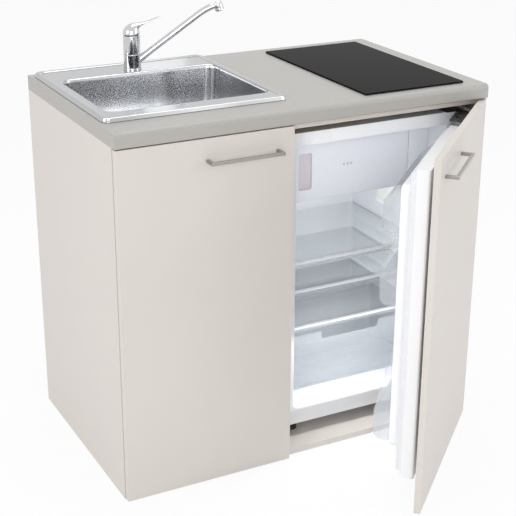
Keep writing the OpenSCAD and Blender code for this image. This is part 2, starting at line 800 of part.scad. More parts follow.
// Column with a foot, a neck for the turning spout and a bore for the cartridge.
module tap_body() {
    color([0.84, 0.85, 0.86]) at_tap() difference() {
        union() {
            translate([0, 0, sink_top]) cylinder(r = tap_r + 1, h = tap_flange_h);
            translate([0, 0, sink_top]) cylinder(r = stem_r, h = tap_body_h / 2);
            translate([0, 0, collar_z[1] + seat]) cylinder(r = tap_r, h = tap_top - collar_z[1] - seat);
        }
        translate([0, 0, tap_top - cartridge_h]) cylinder(r = cartridge_r + fit, h = cartridge_h + 2);
        translate([0, 0, sink_top + 12]) cylinder(r = 12, h = 60);
        for (x = tap_inlet_xs) translate([x, 0, sink_top - cut]) cylinder(r = inlet_r + fit, h = 20);
        translate([0, stud_y, sink_top - cut]) cylinder(r = stud_r + fit, h = 12);
    }
}

module spout_form(r) {
    bend = spout_slope - spout_end_slope;
    translate([spout_straight * cos(spout_slope), 0, spout_z + spout_straight * sin(spout_slope)])
        rotate([0, -spout_slope, 0]) {
            rotate([0, -90, 0]) cylinder(r = r, h = spout_straight);
            translate([0, 0, -spout_bend_r]) rotate([90, 0, 0]) mirror([1, -1, 0])
                rotate_extrude(angle = bend, $fn = 96) translate([spout_bend_r, 0]) circle(r);
        }
}

// the place and slope of the spout's end
spout_end_at = [spout_straight * cos(spout_slope)
                + spout_bend_r * (sin(spout_slope) - sin(spout_end_slope)),
                spout_z + spout_straight * sin(spout_slope)
                + spout_bend_r * (cos(spout_end_slope) - cos(spout_slope))];

module at_nozzle() {
    translate([spout_end_at[0], 0, spout_end_at[1]]) rotate([0, -spout_end_slope, 0])
        translate([nozzle_d / 2 - 3, 0, 0]) children();
}

// Collar that turns on the neck, the rising tube and the nozzle.
module tap_spout() {
    nozzle_foot = spout_d / 2 - nozzle_l;
    color([0.84, 0.85, 0.86]) at_tap() difference() {
        union() {
            translate([0, 0, collar_z[0]]) cylinder(r = tap_r, h = collar_z[1] - collar_z[0]);
            intersection() {
                spout_form(spout_d / 2);
                translate([0, -50, collar_z[0]]) cube([400, 100, 400]);
            }
            at_nozzle() translate([0, 0, nozzle_foot]) cylinder(r = nozzle_d / 2, h = nozzle_l);
        }
        translate([0, 0, collar_z[0] - cut]) cylinder(r = stem_r + fit, h = 200);
        spout_form(spout_d / 2 - tube_wall);
        at_nozzle() translate([0, 0, nozzle_foot - cut])
            cylinder(r = nozzle_d / 2 - tube_wall, h = nozzle_l - 4 + cut);
    }
}

// Perforated insert in the nozzle.
module tap_aerator() {
    outer_r = nozzle_d / 2 - tube_wall - fit;
    base = spout_d / 2 - nozzle_l;
    color([0.6, 0.61, 0.62]) at_tap() at_nozzle() difference() {
        translate([0, 0, base + 0.6]) cylinder(r = outer_r, h = 9);
        translate([0, 0, base + 2.6]) cylinder(r = outer_r - 1.5, h = 10);
        for (k = [0:7]) rotate(45 * k) translate([outer_r / 2 + 0.5, 0, base - cut]) cylinder(r = 1.1, h = 5);
    }
}

module tap_cartridge() {
    color([0.9, 0.9, 0.88]) at_tap() {
        translate([0, 0, tap_top - cartridge_h]) cylinder(r = cartridge_r, h = cartridge_h);
        translate([0, 0, tap_top - cartridge_h - 4]) cylinder(r = 10, h = 5);
    }
}

// Turning head on the cartridge, with the lug and pin that carry the lever.
module tap_turret() {
    color([0.5, 0.5, 0.52]) at_tap() {
        translate([0, 0, tap_top + seat]) cylinder(r = cartridge_r - 4, h = 2);
        block([lift_axis[0] - lift_pin_r, -6, tap_top + 2],
              [lift_axis[0] + lift_pin_r, 6, lift_axis[1] + 3.5]);
        block([lift_axis[0] - lift_pin_r, -4, tap_top + 2], [0, 4, tap_top + 6]);
        rod([lift_axis[0], -lift_pin_half, lift_axis[1]], [0, 1, 0], 2 * lift_pin_half, lift_pin_r);
        translate([0, 0, tap_top + 2]) cylinder(r = 5, h = 10);
    }
}

// Domed cap with the thin lever, in one casting.
module tap_handle() {
    color([0.84, 0.85, 0.86]) at_tap() difference() {
        union() {
            translate([0, 0, handle_rim]) rotate_extrude() {
                square([tap_r - handle_dome_r, handle_top - handle_rim]);
                square([tap_r, handle_top - handle_rim - handle_dome_r]);
                translate([tap_r - handle_dome_r, handle_top - handle_rim - handle_dome_r])
                    circle(handle_dome_r);
            }
            difference() {
                translate([-6, -lever_w / 2, handle_top - 12]) rotate([0, -lever_rise, 0])
                    cube([lever_reach + 7, lever_w, lever_t]);
                translate([-20, -15, handle_top - 30]) cube([20, 30, 60]);
            }
        }
        translate([0, 0, handle_rim - cut])
            cylinder(r = tap_r - handle_wall, h = handle_top - handle_rim - 3 + cut);
        rod([lift_axis[0], -lift_pin_half - fit, lift_axis[1]], [0, 1, 0],
            2 * (lift_pin_half + fit), lift_pin_r + fit);
    }
}

// Clamping plate, stud and nut under the rim, and the two water inlets.
module tap_fixings() {
    under = sink_top - steel_t - fit;
    color([0.76, 0.66, 0.4]) at_tap() {
        difference() {
            translate([0, 0, under - 4]) cylinder(r = 24, h = 4);
            for (x = tap_inlet_xs) translate([x, 0, under - 10]) cylinder(r = inlet_r + fit, h = 20);
            translate([0, stud_y, under - 10]) cylinder(r = stud_r + fit, h = 20);
        }
        translate([0, stud_y, under - 60]) cylinder(r = stud_r, h = 60 + steel_t + 10);
        ring_at([0, stud_y], under - 12, under - 4, 6.5, stud_r + fit);
        for (x = tap_inlet_xs) translate([x, 0, under - 90]) cylinder(r = inlet_r, h = 90 + steel_t + 14);
    }
}

module ring_at(place, z0, z1, outer_r, inner_r) {
    translate([place[0], place[1], 0]) ring(z0, z1, outer_r, inner_r);
}

// ---------- hob ----------

module hob_glass() {
    color([0.05, 0.05, 0.06])
        rounded_plate([hob_l, hob_f, hob_glass_z], [hob_r, hob_b, hob_glass_z + hob_glass_t], 6);
}

// Steel tray under the glass, with its lead's gland in the rear wall.
module hob_casing() {
    lo = [hob_l + hob_case_in, hob_f + hob_case_in, hob_case_z];
    hi = [hob_r - hob_case_in, hob_b - hob_case_in, hob_glass_z];
    color([0.7, 0.7, 0.71]) difference() {
        union() {
            rounded_plate(lo, hi, 6);
            rounded_plate([hob_l + 4, hob_f + 4, unit_h], [hob_r - 4, hob_b - 4, hob_glass_z], 5);
        }
        rounded_plate(lo + hob_sheet * [1, 1, 1], hi + [-hob_sheet, -hob_sheet, cut], 5);
        rod([hob_mid, hi[1] - 5, hob_case_z + 18], [0, 1, 0], 10, gland_r);
    }
}

// Heater dishes: a steel rim with an insulating floor.
module hob_heaters() {
    z = hob_case_z + 18;
    color([0.85, 0.83, 0.78]) for (zone = zones) translate([hob_mid, zone[1], 0]) difference() {
        translate([0, 0, z]) cylinder(r = zone[0] + 6, h = hob_glass_z - seat - z);
        translate([0, 0, z + 12]) cylinder(r = zone[0], h = 60);
    }
}

// Each coil is a flat spiral ribbon on its dish.
module hob_coils() {
    turns = 4;
    steps = 20;
    color([0.35, 0.3, 0.28]) for (zone = zones) {
        pitch = (zone[0] - 24) / turns;
        outer = [for (k = [0:turns * steps]) spiral_point(k / steps, pitch, 17.5)];
        inner = [for (k = [turns * steps:-1:0]) spiral_point(k / steps, pitch, 14.5)];
        translate([hob_mid, zone[1], hob_case_z + 30]) linear_extrude(5) polygon(concat(outer, inner));
    }
}

function spiral_point(turn, pitch, start) = (start + pitch * turn) * [cos(360 * turn), sin(360 * turn)];

// Touch control board below the glass's front corner, on its bracket.
module hob_board() {
    lo = [hob_l + hob_case_in + 4, hob_f + hob_case_in + 3, hob_case_z + 1];
    color([0.15, 0.4, 0.25]) {
        block(lo, lo + [hob_w - 2 * hob_case_in - 8, 3, hob_case_h - 8]);
        block(lo, lo + [hob_w - 2 * hob_case_in - 8, 14, 2]);
        block(lo + [0, 0, hob_case_h - 9], lo + [hob_w - 2 * hob_case_in - 8, 14, hob_case_h - 7]);
    }
}

// Spring clamps between the casing and the edge of the cut-out.
module hob_clamps() {
    color([0.7, 0.7, 0.7]) for (y = [hob_f + 120, hob_b - 120]) {
        for (s = [-1, 1]) {
            face = s < 0 ? hob_l + hob_case_in : hob_r - hob_case_in;
            leg_x = [face, face + s * 1.5];
            claw_x = [face, face + s * 12];
            block([min(leg_x), y - 10, hob_case_z + 2], [max(leg_x), y + 10, unit_h - 2]);
            block([min(claw_x), y - 10, worktop_z - 3], [max(claw_x), y + 10, worktop_z - seat]);
        }
    }
}

// ---------- fridge ----------

// Insulated cabinet: walls filled with foam, a recessed kick strip and a machine bay at the rear.
module fridge_casing() {
    color([0.95, 0.95, 0.95]) difference() {
        block([fr_l, fr_front, fr_bottom], [fr_r, fr_back, fr_top]);
        cavity_shape(liner_t);
        block([fr_l + bay_side, bay_y, fr_bottom - cut], [fr_r - bay_side, fr_back + cut, bay_z]);
        block([fr_l - cut, fr_front - cut, fr_bottom - cut],
              [fr_r + cut, fr_front + kick_in, fr_bottom + kick_h]);
        for (f = foot_places())
            rod([f[0], f[1], fr_bottom - cut], [0, 0, 1], foot_hole_l + cut, foot_rod_r + fit);
    }
}

function foot_places() = [for (x = [fr_l + 45, fr_r - 45]) [x, fr_front + 55]];

module cavity_shape(grow) {
    difference() {
        block([cav_l - grow, cav_front - cut, cav_floor - grow],
              [cav_r + grow, cav_back + grow, cav_top + grow]);
        block([cav_l - 2 * cut - grow, hump_y + (grow > 0 ? grow : 0), cav_floor - 2 * cut - grow],
              [cav_r + 2 * cut + grow, fr_back, hump_z - grow]);
    }
}

// Moulded white liner with shelf ribs on both sides.
module fridge_liner() {
    rib_zs = concat([for (z = shelf_zs) z - rib_h - 0.2], [for (z = shelf_zs) z + glass_t + 2.2],
                    [shelf_zs[0] + 44, shelf_zs[1] + 40]);
    color([0.93, 0.95, 0.97]) {
        difference() {
            cavity_shape(liner_t - 0.05);
            cavity_shape(0);
            block([cav_l - 50, cav_front - 2 * cut, cav_floor - 50], [cav_r + 50, cav_front, cav_top + 50]);
        }
        for (z = rib_zs) {
            y_far = z < hump_z ? hump_y - 10 : cav_back - 14;
            block([cav_l - 0.5, flap_y + 12, z], [cav_l + rib_d, y_far, z + rib_h]);
            block([cav_r - rib_d, flap_y + 12, z], [cav_r + 0.5, y_far, z + rib_h]);
        }
    }
}

// Frozen food box: an open-fronted shell, with the solid post that carries the flap.
module freezer_box() {
    lo = [cav_l + seat, flap_y + flap_t + 1, flap_bottom - 2];
    hi = [cav_r - seat, cav_back - seat, flap_top + 2];
    post_x = flap_axis[0] + 6;
    color([0.9, 0.92, 0.95]) difference() {
        union() {
            block(lo, hi);
            block([post_x, flap_y, lo[2]], hi);
        }
        block([lo[0] + 6, lo[1] - cut, flap_bottom + 6], [post_x - 6, hi[1] - 4, flap_top - 6]);
    }
}

// Insulated flap that turns on two pins at its right-hand edge, with a recessed grip.
module freezer_flap() {
    x = [flap_l, flap_axis[0] + 4];
    grip = [x[0] + 36, x[0] + 75];
    color([0.93, 0.94, 0.97]) difference() {
        union() {
            block([x[0], flap_y, flap_bottom + 1], [x[1] - 4, flap_y + flap_t, flap_top - 1]);
            rod([flap_axis[0], flap_axis[1], flap_bottom + 1], [0, 0, 1], flap_h - 2, flap_t / 2);
        }
        block([grip[0], flap_y - cut, flap_bottom + 32], [grip[1], flap_y + 7, flap_top - 40]);
        for (z = [flap_bottom, flap_top - 12])
            rod([flap_axis[0], flap_axis[1], z], [0, 0, 1], 12, flap_pin_r + fit);
    }
}

module shelf_pane(z, y_far) {
    block([shelf_x[0] + 2, shelf_y[0] + 8, z], [shelf_x[1] - 2, y_far, z + glass_t]);
}

module glass_shelves() {
    color([0.75, 0.85, 0.88, 0.5]) for (z = shelf_zs) shelf_pane(z, shelf_y[1]);
}

// Clear mouldings along the front edges of the shelves.
module shelf_trims() {
    color([0.93, 0.95, 0.97]) for (k = [0:2]) {
        z = shelf_zs[k];
        h = trim_hs[k];
        difference() {
            block([shelf_x[0], shelf_y[0], z + glass_t + 2 - h],
                  [shelf_x[1], shelf_y[0] + 10, z + glass_t + 2]);
            shelf_pane(z, shelf_y[1]);
        }
    }
}

// Clear drawer with a thick front.
module crisper_drawer() {
    lo = [crisper_x[0], crisper_y[0], crisper_z[0]];
    hi = [crisper_x[1], crisper_y[1], crisper_z[1]];
    color([0.85, 0.9, 0.93, 0.6]) difference() {
        block(lo, hi);
        block(lo + [3, 4, 3], hi + [-3, -3, cut]);
        block([lo[0] + 120, lo[1] - cut, hi[2] - 22], [hi[0] - 120, lo[1] + 4 + cut, hi[2] + cut]);
    }
}

// Housing of the thermostat and lamp on the right wall.
module thermostat_housing() {
    color([0.95, 0.96, 0.98]) difference() {
        block([thermo_x, thermo_y[0], thermo_z[0]], [cav_r - 0.2, thermo_y[1], thermo_z[1]]);
        rod(knob_at - [cut, 0, 0], [1, 0, 0], 16, 3 + fit);
    }
}

module thermostat_knob() {
    color([0.9, 0.9, 0.92]) {
        difference() {
            rod(knob_at - [seat, 0, 0], [-1, 0, 0], 10, knob_r);
            for (s = [-1, 1])
                block(knob_at + [-12, s > 0 ? 3 : -knob_r - 1, -knob_r - 1],
                      knob_at + [-4, s > 0 ? knob_r + 1 : -3, knob_r + 1]);
        }
        rod(knob_at - [1, 0, 0], [1, 0, 0], 14, 3);
    }
}

module fridge_door_slab() {
    color([0.96, 0.96, 0.96]) fridge_door_pose() difference() {
        rounded_plate([fr_l, fr_door_y, slab_z[0]], [fr_r, fr_slab_back, slab_z[1]], 6);
        rod([fr_axis_x, fr_axis_y, slab_z[0] - cut], [0, 0, 1], 14 + cut, fridge_pin_r + fit);
        rod([fr_axis_x, fr_axis_y, slab_z[1] + cut], [0, 0, -1], 14 + cut, fridge_pin_r + fit);
        rod(concat(guide_pin_at, [slab_z[1] + cut]), [0, 0, -1], 12 + cut, guide_pin_r + fit);
    }
}

// Moulded inner face with upright dams between which the bins hang.
module fridge_door_liner() {
    x = dam_x;
    z = liner_dam_z;
    base = [fr_slab_back, fr_slab_back + 3];
    color([0.97, 0.97, 0.98]) fridge_door_pose() {
        block([x[0], base[0], z[0]], [x[1], base[1], z[1]]);
        block([x[0], base[0], z[0]], [x[0] + dam_w, dam_y, z[1]]);
        block([x[1] - dam_w, base[0], z[0]], [x[1], dam_y, z[1]]);
        block([x[0], base[0], z[1] - 12], [x[1], dam_y, z[1]]);
        block([x[0], base[0], z[0]], [x[1], dam_y, z[0] + 7]);
    }
}

// Magnetic seal around the liner.
module door_gasket() {
    lo = [fr_l + 9, slab_z[0] + 12];
    hi = [fr_r - 9, slab_z[1] - 12];
    w = 15;
    color([0.9, 0.9, 0.9]) fridge_door_pose() difference() {
        block([lo[0], fr_slab_back + fit, lo[1]], [hi[0], fr_slab_back + gasket_t, hi[1]]);
        block([lo[0] + w, fr_slab_back - cut, lo[1] + w],
              [hi[0] - w, fr_slab_back + gasket_t + cut, hi[1] - w]);
    }
}

// Clear bins that hang on the inner face: bottles at the bottom, jars in the middle, a dairy box on top.
module door_bins() {
    back = fr_slab_back + 3 + seat;
    color([0.85, 0.88, 0.92, 0.6]) fridge_door_pose() for (b = bins) difference() {
        bin_shape(bin_x, [
            [back, b[0]], [bin_y - bin_toe, b[0]], [bin_y, b[0] + bin_toe], [bin_y, b[0] + b[1]],
            [bin_y - bin_lean, b[0] + b[2]], [back, b[0] + b[2]]]);
        bin_shape([bin_x[0] + bin_wall, bin_x[1] - bin_wall], [
            [back + bin_wall, b[0] + bin_wall], [bin_y - bin_toe - bin_wall, b[0] + bin_wall],
            [bin_y - bin_wall, b[0] + bin_toe + bin_wall], [bin_y - bin_wall, b[0] + b[1]],
            [bin_y + cut, b[0] + b[1]], [bin_y + cut, b[0] + b[2] + cut],
            [back + bin_wall, b[0] + b[2] + cut]]);
    }
}

// A side outline drawn out along the door's width.
module bin_shape(x, outline) {
    translate([x[0], 0, 0]) rotate([90, 0, 90]) linear_extrude(x[1] - x[0]) polygon(outline);
}

// Two hinge plates on the fridge's corners, each with its pin. The lower one has an upright leaf.
module fridge_hinges() {
    at = [fr_axis_x, fr_axis_y];
    low = slab_z[0] - 4;
    color([0.3, 0.3, 0.32]) {
        hinge_plate(at, fr_top, fr_top + 3, fr_front + 70);
        rod([at[0], at[1], slab_z[1] - 12], [0, 0, 1], fr_top + 1 - slab_z[1] + 12, fridge_pin_r);
        hinge_plate(at, low - 3, low, fr_front + 6);
        block([at[0] - 40, fr_front + 3, low - 3], [at[0] + 7, fr_front + 6, fr_bottom + kick_h - 1]);
        rod([at[0], at[1], low - 1], [0, 0, 1], 16, fridge_pin_r);
    }
}

module hinge_plate(at, z0, z1, y_far) {
    rod([at[0], at[1], z0], [0, 0, 1], z1 - z0, 8);
    block([at[0] - 8, at[1], z0], [at[0] + 8, fr_front, z1]);
    block([at[0] - 40, fr_front - 5, z0], [at[0] + 7, y_far, z1]);
}

// Pin on top of the fridge door that runs in the slot of the guide plate.
module door_guide_pin() {
    pin_z = [slab_z[1] - 11, guide_z + guide_t + 3];
    color([0.2, 0.2, 0.22]) fridge_door_pose()
        rod(concat(guide_pin_at, [pin_z[0]]), [0, 0, 1], pin_z[1] - pin_z[0], guide_pin_r);
}

module fridge_feet() {
    color([0.25, 0.25, 0.25]) {
        for (f = foot_places()) {
            rod([f[0], f[1], board_t], [0, 0, 1], 12, 16);
            rod([f[0], f[1], board_t + 12], [0, 0, 1], fridge_foot_h, foot_rod_r);
        }
        for (x = [fr_l + 25, fr_r - 25])
            block([x - 11, bay_y - 40, board_t], [x + 11, bay_y - 2, fr_bottom]);
    }
}

// Sealed compressor on its cross plate.
module compressor() {
    at = compressor_at;
    base = fr_bottom + 4;
    color([0.12, 0.12, 0.13]) {
        block([fr_l + bay_side + seat, bay_y + 2, base - 4], [fr_r - bay_side - seat, fr_back, base]);
        for (dx = [-70, 70], dy = [-36, 36])
            rod([at[0] + dx, at[1] + dy, base], [0, 0, 1], 14, 9);
        block([at[0] - 82, at[1] - 46, base + 14], [at[0] + 82, at[1] + 46, base + 17]);
        translate([at[0], at[1], base + 17]) rotate_extrude() {
            square([36, 108]);
            square([56, 88]);
            translate([36, 88]) intersection() {
                circle(20);
                square(20);
            }
        }
    }
}

// Serpentine tube on the fridge's back, held by four clips.
module condenser() {
    y = fr_back + 12;
    x = [fr_l + 50, fr_r - 50];
    rows = 9;
    step = 56;
    z0 = bay_z + 46;
    color([0.15, 0.15, 0.16]) {
        for (k = [0:rows - 1]) rod([x[0], y, z0 + k * step], [1, 0, 0], x[1] - x[0], tube_r);
        for (k = [0:rows - 2]) {
            right = k % 2 == 0;
            translate([right ? x[1] : x[0], y, z0 + (k + 0.5) * step]) rotate([90, 0, 0])
                rotate([0, 0, right ? -90 : 90]) rotate_extrude(angle = 180)
                    translate([step / 2, 0]) circle(tube_r);
        }
        for (cx = [x[0] + 40, x[1] - 40], cz = [z0, z0 + (rows - 1) * step])
            block([cx - 6, fr_back, cz - 6], [cx + 6, y + 4, cz + 6]);
    }
}

left_side_panel();
right_side_panel();
partition();
bottom_board();
back_panel();
top_rails();
panel_dowels();
worktop();
worktop_screws();
left_door();
left_handle();
left_handle_screws();
left_hinge_cups();
left_hinge_arms();
right_door();
right_handle();
right_handle_screws();
right_hinge_cups();
right_hinge_arms();
door_guide_plate();
sink_bowl();
sink_seal();
sink_clips();
waste_flange();
basket_strainer();
waste_body();
overflow_pipe();
drain_trap();
tap_body();
tap_spout();
tap_aerator();
tap_cartridge();
tap_turret();
tap_handle();
tap_fixings();
hob_glass();
hob_casing();
hob_heaters();
hob_coils();
hob_board();
hob_clamps();
fridge_casing();
fridge_liner();
freezer_box();
freezer_flap();
glass_shelves();
shelf_trims();
crisper_drawer();
thermostat_housing();
thermostat_knob();
fridge_door_slab();
fridge_door_liner();
door_gasket();
door_bins();
fridge_hinges();
door_guide_pin();
fridge_feet();
compressor();
condenser();
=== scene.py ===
import json
import math
import bpy
import bmesh
from mathutils import Matrix, Vector


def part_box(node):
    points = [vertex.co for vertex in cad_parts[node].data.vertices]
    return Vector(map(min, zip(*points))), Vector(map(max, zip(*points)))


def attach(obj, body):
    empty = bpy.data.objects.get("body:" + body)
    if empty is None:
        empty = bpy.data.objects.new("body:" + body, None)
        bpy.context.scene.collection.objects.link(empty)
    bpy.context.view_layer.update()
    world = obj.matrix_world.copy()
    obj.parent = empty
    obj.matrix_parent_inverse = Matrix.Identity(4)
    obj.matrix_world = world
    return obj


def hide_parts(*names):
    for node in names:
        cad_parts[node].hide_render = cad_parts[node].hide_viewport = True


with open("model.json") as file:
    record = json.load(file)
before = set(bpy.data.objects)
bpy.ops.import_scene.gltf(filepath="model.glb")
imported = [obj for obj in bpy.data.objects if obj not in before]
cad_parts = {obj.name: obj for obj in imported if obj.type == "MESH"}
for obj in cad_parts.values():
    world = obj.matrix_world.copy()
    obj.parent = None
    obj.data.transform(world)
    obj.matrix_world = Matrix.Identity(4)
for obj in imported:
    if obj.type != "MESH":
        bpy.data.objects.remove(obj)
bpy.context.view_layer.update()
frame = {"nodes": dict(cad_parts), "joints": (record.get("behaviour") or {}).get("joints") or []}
bpy.context.scene.view_settings.view_transform = "Standard"
print("frame loaded")

photoView = {
    "place": (-1.4241, -2.7378, 1.6897),
    "azimuth": 27.62,     # degrees to the right of straight ahead
    "downward": 21.97,
    "roll": 0.29,
    "lens": 87.02,
    "sensor": 36.0,
}


def placeCamera(view):
    data = bpy.data.cameras.new("photoCamera")
    data.lens = view["lens"]
    data.sensor_width = view["sensor"]
    camera = bpy.data.objects.new("photoCamera", data)
    turns = ((-view["azimuth"], "Z"), (90 - view["downward"], "X"), (view["roll"], "Z"))
    turn, tilt, roll = (Matrix.Rotation(math.radians(angle), 4, axis) for angle, axis in turns)
    camera.matrix_world = Matrix.Translation(view["place"]) @ turn @ tilt @ roll
    bpy.context.scene.collection.objects.link(camera)
    bpy.context.scene.camera = camera


placeCamera(photoView)
print("camera placed")


def operator(operation, swapped=False):
    def work(wire, other):
        return wire.maths(operation, *((other, wire) if swapped else (wire, other)))
    return work


class Wire:
    # one value that runs between nodes; sums on it add Math nodes
    __add__ = __radd__ = operator("ADD")
    __mul__ = __rmul__ = operator("MULTIPLY")
    __sub__, __rsub__ = operator("SUBTRACT"), operator("SUBTRACT", True)
    __truediv__, __rtruediv__ = operator("DIVIDE"), operator("DIVIDE", True)
    __pow__, __rpow__ = operator("POWER"), operator("POWER", True)
    __gt__, __lt__ = operator("GREATER_THAN"), operator("LESS_THAN")

    def __init__(self, finish, socket):
        self.finish = finish
        self.socket = socket

    def maths(self, operation, *values):
        return self.finish.node("ShaderNodeMath", {"operation": operation}, dict(enumerate(values)))

    def held(self, low, high):
        return self.maths("MINIMUM", self.maths("MAXIMUM", self, low), high)


class Finish:
    # a material with its Principled shader, and one method that adds any other node

    def __init__(self, name, base, roughness, fixed=None):
        self.base = base
        self.material = bpy.data.materials.new(name)
        self.material.use_nodes = True
        self.tree = self.material.node_tree
        self.shader = self.tree.nodes["Principled BSDF"]
        for socket, value in {"Base Color": base, "Roughness": roughness, **(fixed or {})}.items():
            self.feed(self.shader.inputs[socket], value)

    def node(self, kind, settings=None, values=None, output=0):
        made = self.tree.nodes.new(kind)
        for key, value in (settings or {}).items():
            if key == "stops":
                for stop in value[2:]:
                    made.color_ramp.elements.new(stop[0])
                for element, (place, tone) in zip(made.color_ramp.elements, value):
                    element.position = place
                    element.color = (*(tone if isinstance(tone, tuple) else (tone,) * 3), 1)
            else:
                setattr(made, key, value)
        for key, value in (values or {}).items():
            self.feed(made.inputs[key], value)
        return Wire(self, made.outputs[output])

    def feed(self, socket, value):
        if isinstance(value, Wire):
            self.tree.links.new(value.socket, socket)
        else:
            socket.default_value = (*value, 1) if socket.type == "RGBA" else value

    def spot(self):
        return self.node("ShaderNodeTexCoord", output="Object")

    def stretched(self, *scale):
        return self.node("ShaderNodeMapping", None, {"Vector": self.spot(), "Scale": scale})

    def noise(self, scale, detail=2.0, place=None, rough=0.5):
        return self.node("ShaderNodeTexNoise", None, {
            "Vector": place or self.spot(), "Scale": scale, "Detail": detail, "Roughness": rough})

    def cells(self, scale, place=None, output="Distance"):
        return self.node("ShaderNodeTexVoronoi", None, {"Vector": place or self.spot(), "Scale": scale}, output)

    def ramp(self, value, *stops):
        return self.node("ShaderNodeValToRGB", {"stops": stops}, {"Fac": value})

    def mixed(self, share, first, second, way="MIX"):
        return self.node("ShaderNodeMix", {"data_type": "RGBA", "blend_type": way},
                         {0: share, 6: first, 7: second}, 2)

    def tint(self, factor):
        return tinted(self.base, factor)

    def between(self, share, low, high):
        # from the base colour times low to the base colour times high
        return self.mixed(share, self.tint(low), self.tint(high))

    def part(self, vector, letter):
        return self.node("ShaderNodeSeparateXYZ", None, {0: vector}, "XYZ".index(letter))

    def colour(self, value):
        self.feed(self.shader.inputs["Base Color"], value)

    def roughness(self, value):
        self.feed(self.shader.inputs["Roughness"], value)

    def bumped(self, height, depth, strength=1.0):
        # the last step of a finish: gives back its material
        values = {"Height": height, "Distance": depth, "Strength": strength}
        self.feed(self.shader.inputs["Normal"], self.node("ShaderNodeBump", None, values))
        return self.material


def shade(red, green, blue):
    # a colour as a screen shows it, 0 to 255, in the renderer's linear numbers
    return tuple((c / 255 / 12.92) if c < 10.3 else ((c / 255 + 0.055) / 1.055) ** 2.4
                 for c in (red, green, blue))


def tinted(base, factor):
    return tuple(min(1.0, c * factor) for c in base)


colours = {name: shade(*screen) for name, screen in {
    "board": (215, 209, 203), "boardEdge": (219, 214, 208), "chipboard": (176, 146, 108),
    "stone": (173, 171, 166), "hardboard": (142, 108, 74), "beech": (202, 164, 116),
    "steel": (192, 193, 195), "bowl": (230, 231, 233), "chrome": (206, 207, 209), "nickel": (172, 168, 163),
    "zinc": (186, 187, 190), "brass": (196, 160, 92), "ribbon": (92, 82, 76),
    "glassBlack": (22, 21, 20), "sheetWhite": (240, 241, 243), "linerWhite": (241, 243, 247),
    # grip: the darker, pinkish grey of the flap's grip recess is painted shade for the recess
    "kick": (226, 227, 228), "flap": (238, 240, 246), "grip": (220, 214, 219), "mark": (112, 114, 120),
    "lens": (236, 236, 232), "doorLiner": (244, 245, 248), "trim": (248, 250, 252),
    "clear": (232, 238, 244), "shelfGlass": (226, 236, 240), "darkPlastic": (44, 44, 47),
    "blackPaint": (30, 30, 32), "pipe": (226, 226, 221), "circuit": (34, 96, 62),
    "gasket": (234, 235, 238), "foam": (46, 46, 48), "insulation": (206, 200, 186),
}.items()}


def boardFinish():
    # laminated chipboard: a satin face with the faint print of its press plate
    made = Finish("whiteLaminate", colours["board"], 0.42, {"Specular IOR Level": 0.45})
    cloud = made.noise(2.6, 3.0)
    fleck = made.noise(900.0, 1.0)
    tone = made.between((cloud - 0.35) * 1.6, 0.965, 1.02)
    made.colour(made.mixed((fleck > 0.66) * 0.10, tone, made.tint(0.86)))
    made.roughness(0.36 + cloud * 0.14)
    return made.bumped(made.noise(1400.0, 2.0) + made.noise(300.0) * 0.6, 0.00006, 0.5)


def edgeFinish():
    # edge banding, a little smoother than the face, with a fine lengthwise grain
    made = Finish("edgeBand", colours["boardEdge"], 0.34)
    grain = made.noise(220.0, 2.0, made.stretched(1, 1, 0.04))
    made.colour(made.between(grain * 0.5, 1, 0.94))
    return made.bumped(grain, 0.00004, 0.4)


def chipboardFinish():
    made = Finish("chipboard", colours["chipboard"], 0.85)
    chips = made.cells(420.0, made.stretched(1, 1, 2.2), "Color")
    fine = made.noise(1100.0, 3.0)
    tone = made.ramp(fine, (0.3, made.tint(0.62)), (0.7, made.tint(1.15)))
    made.colour(made.mixed(0.35, tone, made.mixed(1.0, made.base, chips, "MULTIPLY")))
    return made.bumped(fine, 0.0004, 0.7)


def stoneFinish():
    # fine-grained stone print: three greys of grain in a soft cloud
    made = Finish("stoneLaminate", colours["stone"], 0.38, {"Specular IOR Level": 0.45})
    cloud = made.noise(7.0, 4.0, rough=0.6)
    grain = made.noise(620.0, 3.0, rough=0.65)
    fleck = made.cells(360.0)
    base = made.ramp(grain, (0.30, made.tint(0.80)), (0.50, made.base), (0.72, made.tint(1.13)))
    cloudy = made.mixed((cloud - 0.3) * 0.5, base, made.tint(1.06))
    made.colour(made.mixed((fleck < 0.16) * 0.28, cloudy, made.tint(0.60)))
    made.roughness(0.33 + grain * 0.14)
    return made.bumped(grain, 0.00008, 0.5)


def brushedFinish(name, colour, along, roughness=0.26, strength=0.35):
    # metal with fine brush lines; along is the direction that the lines run in
    made = Finish(name, colour, roughness, {"Metallic": 1.0})
    scale = [0.02 if letter == along else 1.0 for letter in "XYZ"]
    lines = made.noise(1500.0, 2.0, made.stretched(*scale))
    broad = made.noise(160.0, 2.0, made.stretched(*scale))
    smear = made.noise(9.0, 3.0)
    made.colour(made.between(lines * 0.35 + broad * 0.25, 1, 0.80))
    made.roughness(roughness - 0.05 + lines * 0.08 + smear * 0.07)
    return made.bumped(lines + broad * 0.5, 0.00003, strength)


def bowlFinish():
    # satin steel; its tone from the bowl's left end to its right stands for what the photo's steel mirrors
    made = Finish("bowlSteel", colours["steel"], 0.16, {"Metallic": 1.0})
    lines = made.noise(1100.0, 2.0, made.stretched(1.0, 1.0, 0.02))
    across = (made.part(made.spot(), "X") + 0.46) / 0.42 + (made.noise(5.0) - 0.5) * 0.05
    tone = made.ramp(across, (0.04, 0.62), (0.26, 0.82), (0.46, 1.0), (0.62, 0.98), (0.74, 0.80), (0.88, 0.86),
                     (1.0, 0.94))
    made.colour(made.mixed(lines * 0.10, made.mixed(1.0, colours["bowl"], tone, "MULTIPLY"), (0.4, 0.4, 0.4)))
    made.roughness(0.13 + lines * 0.05)
    return made.bumped(lines, 0.00002, 0.05)


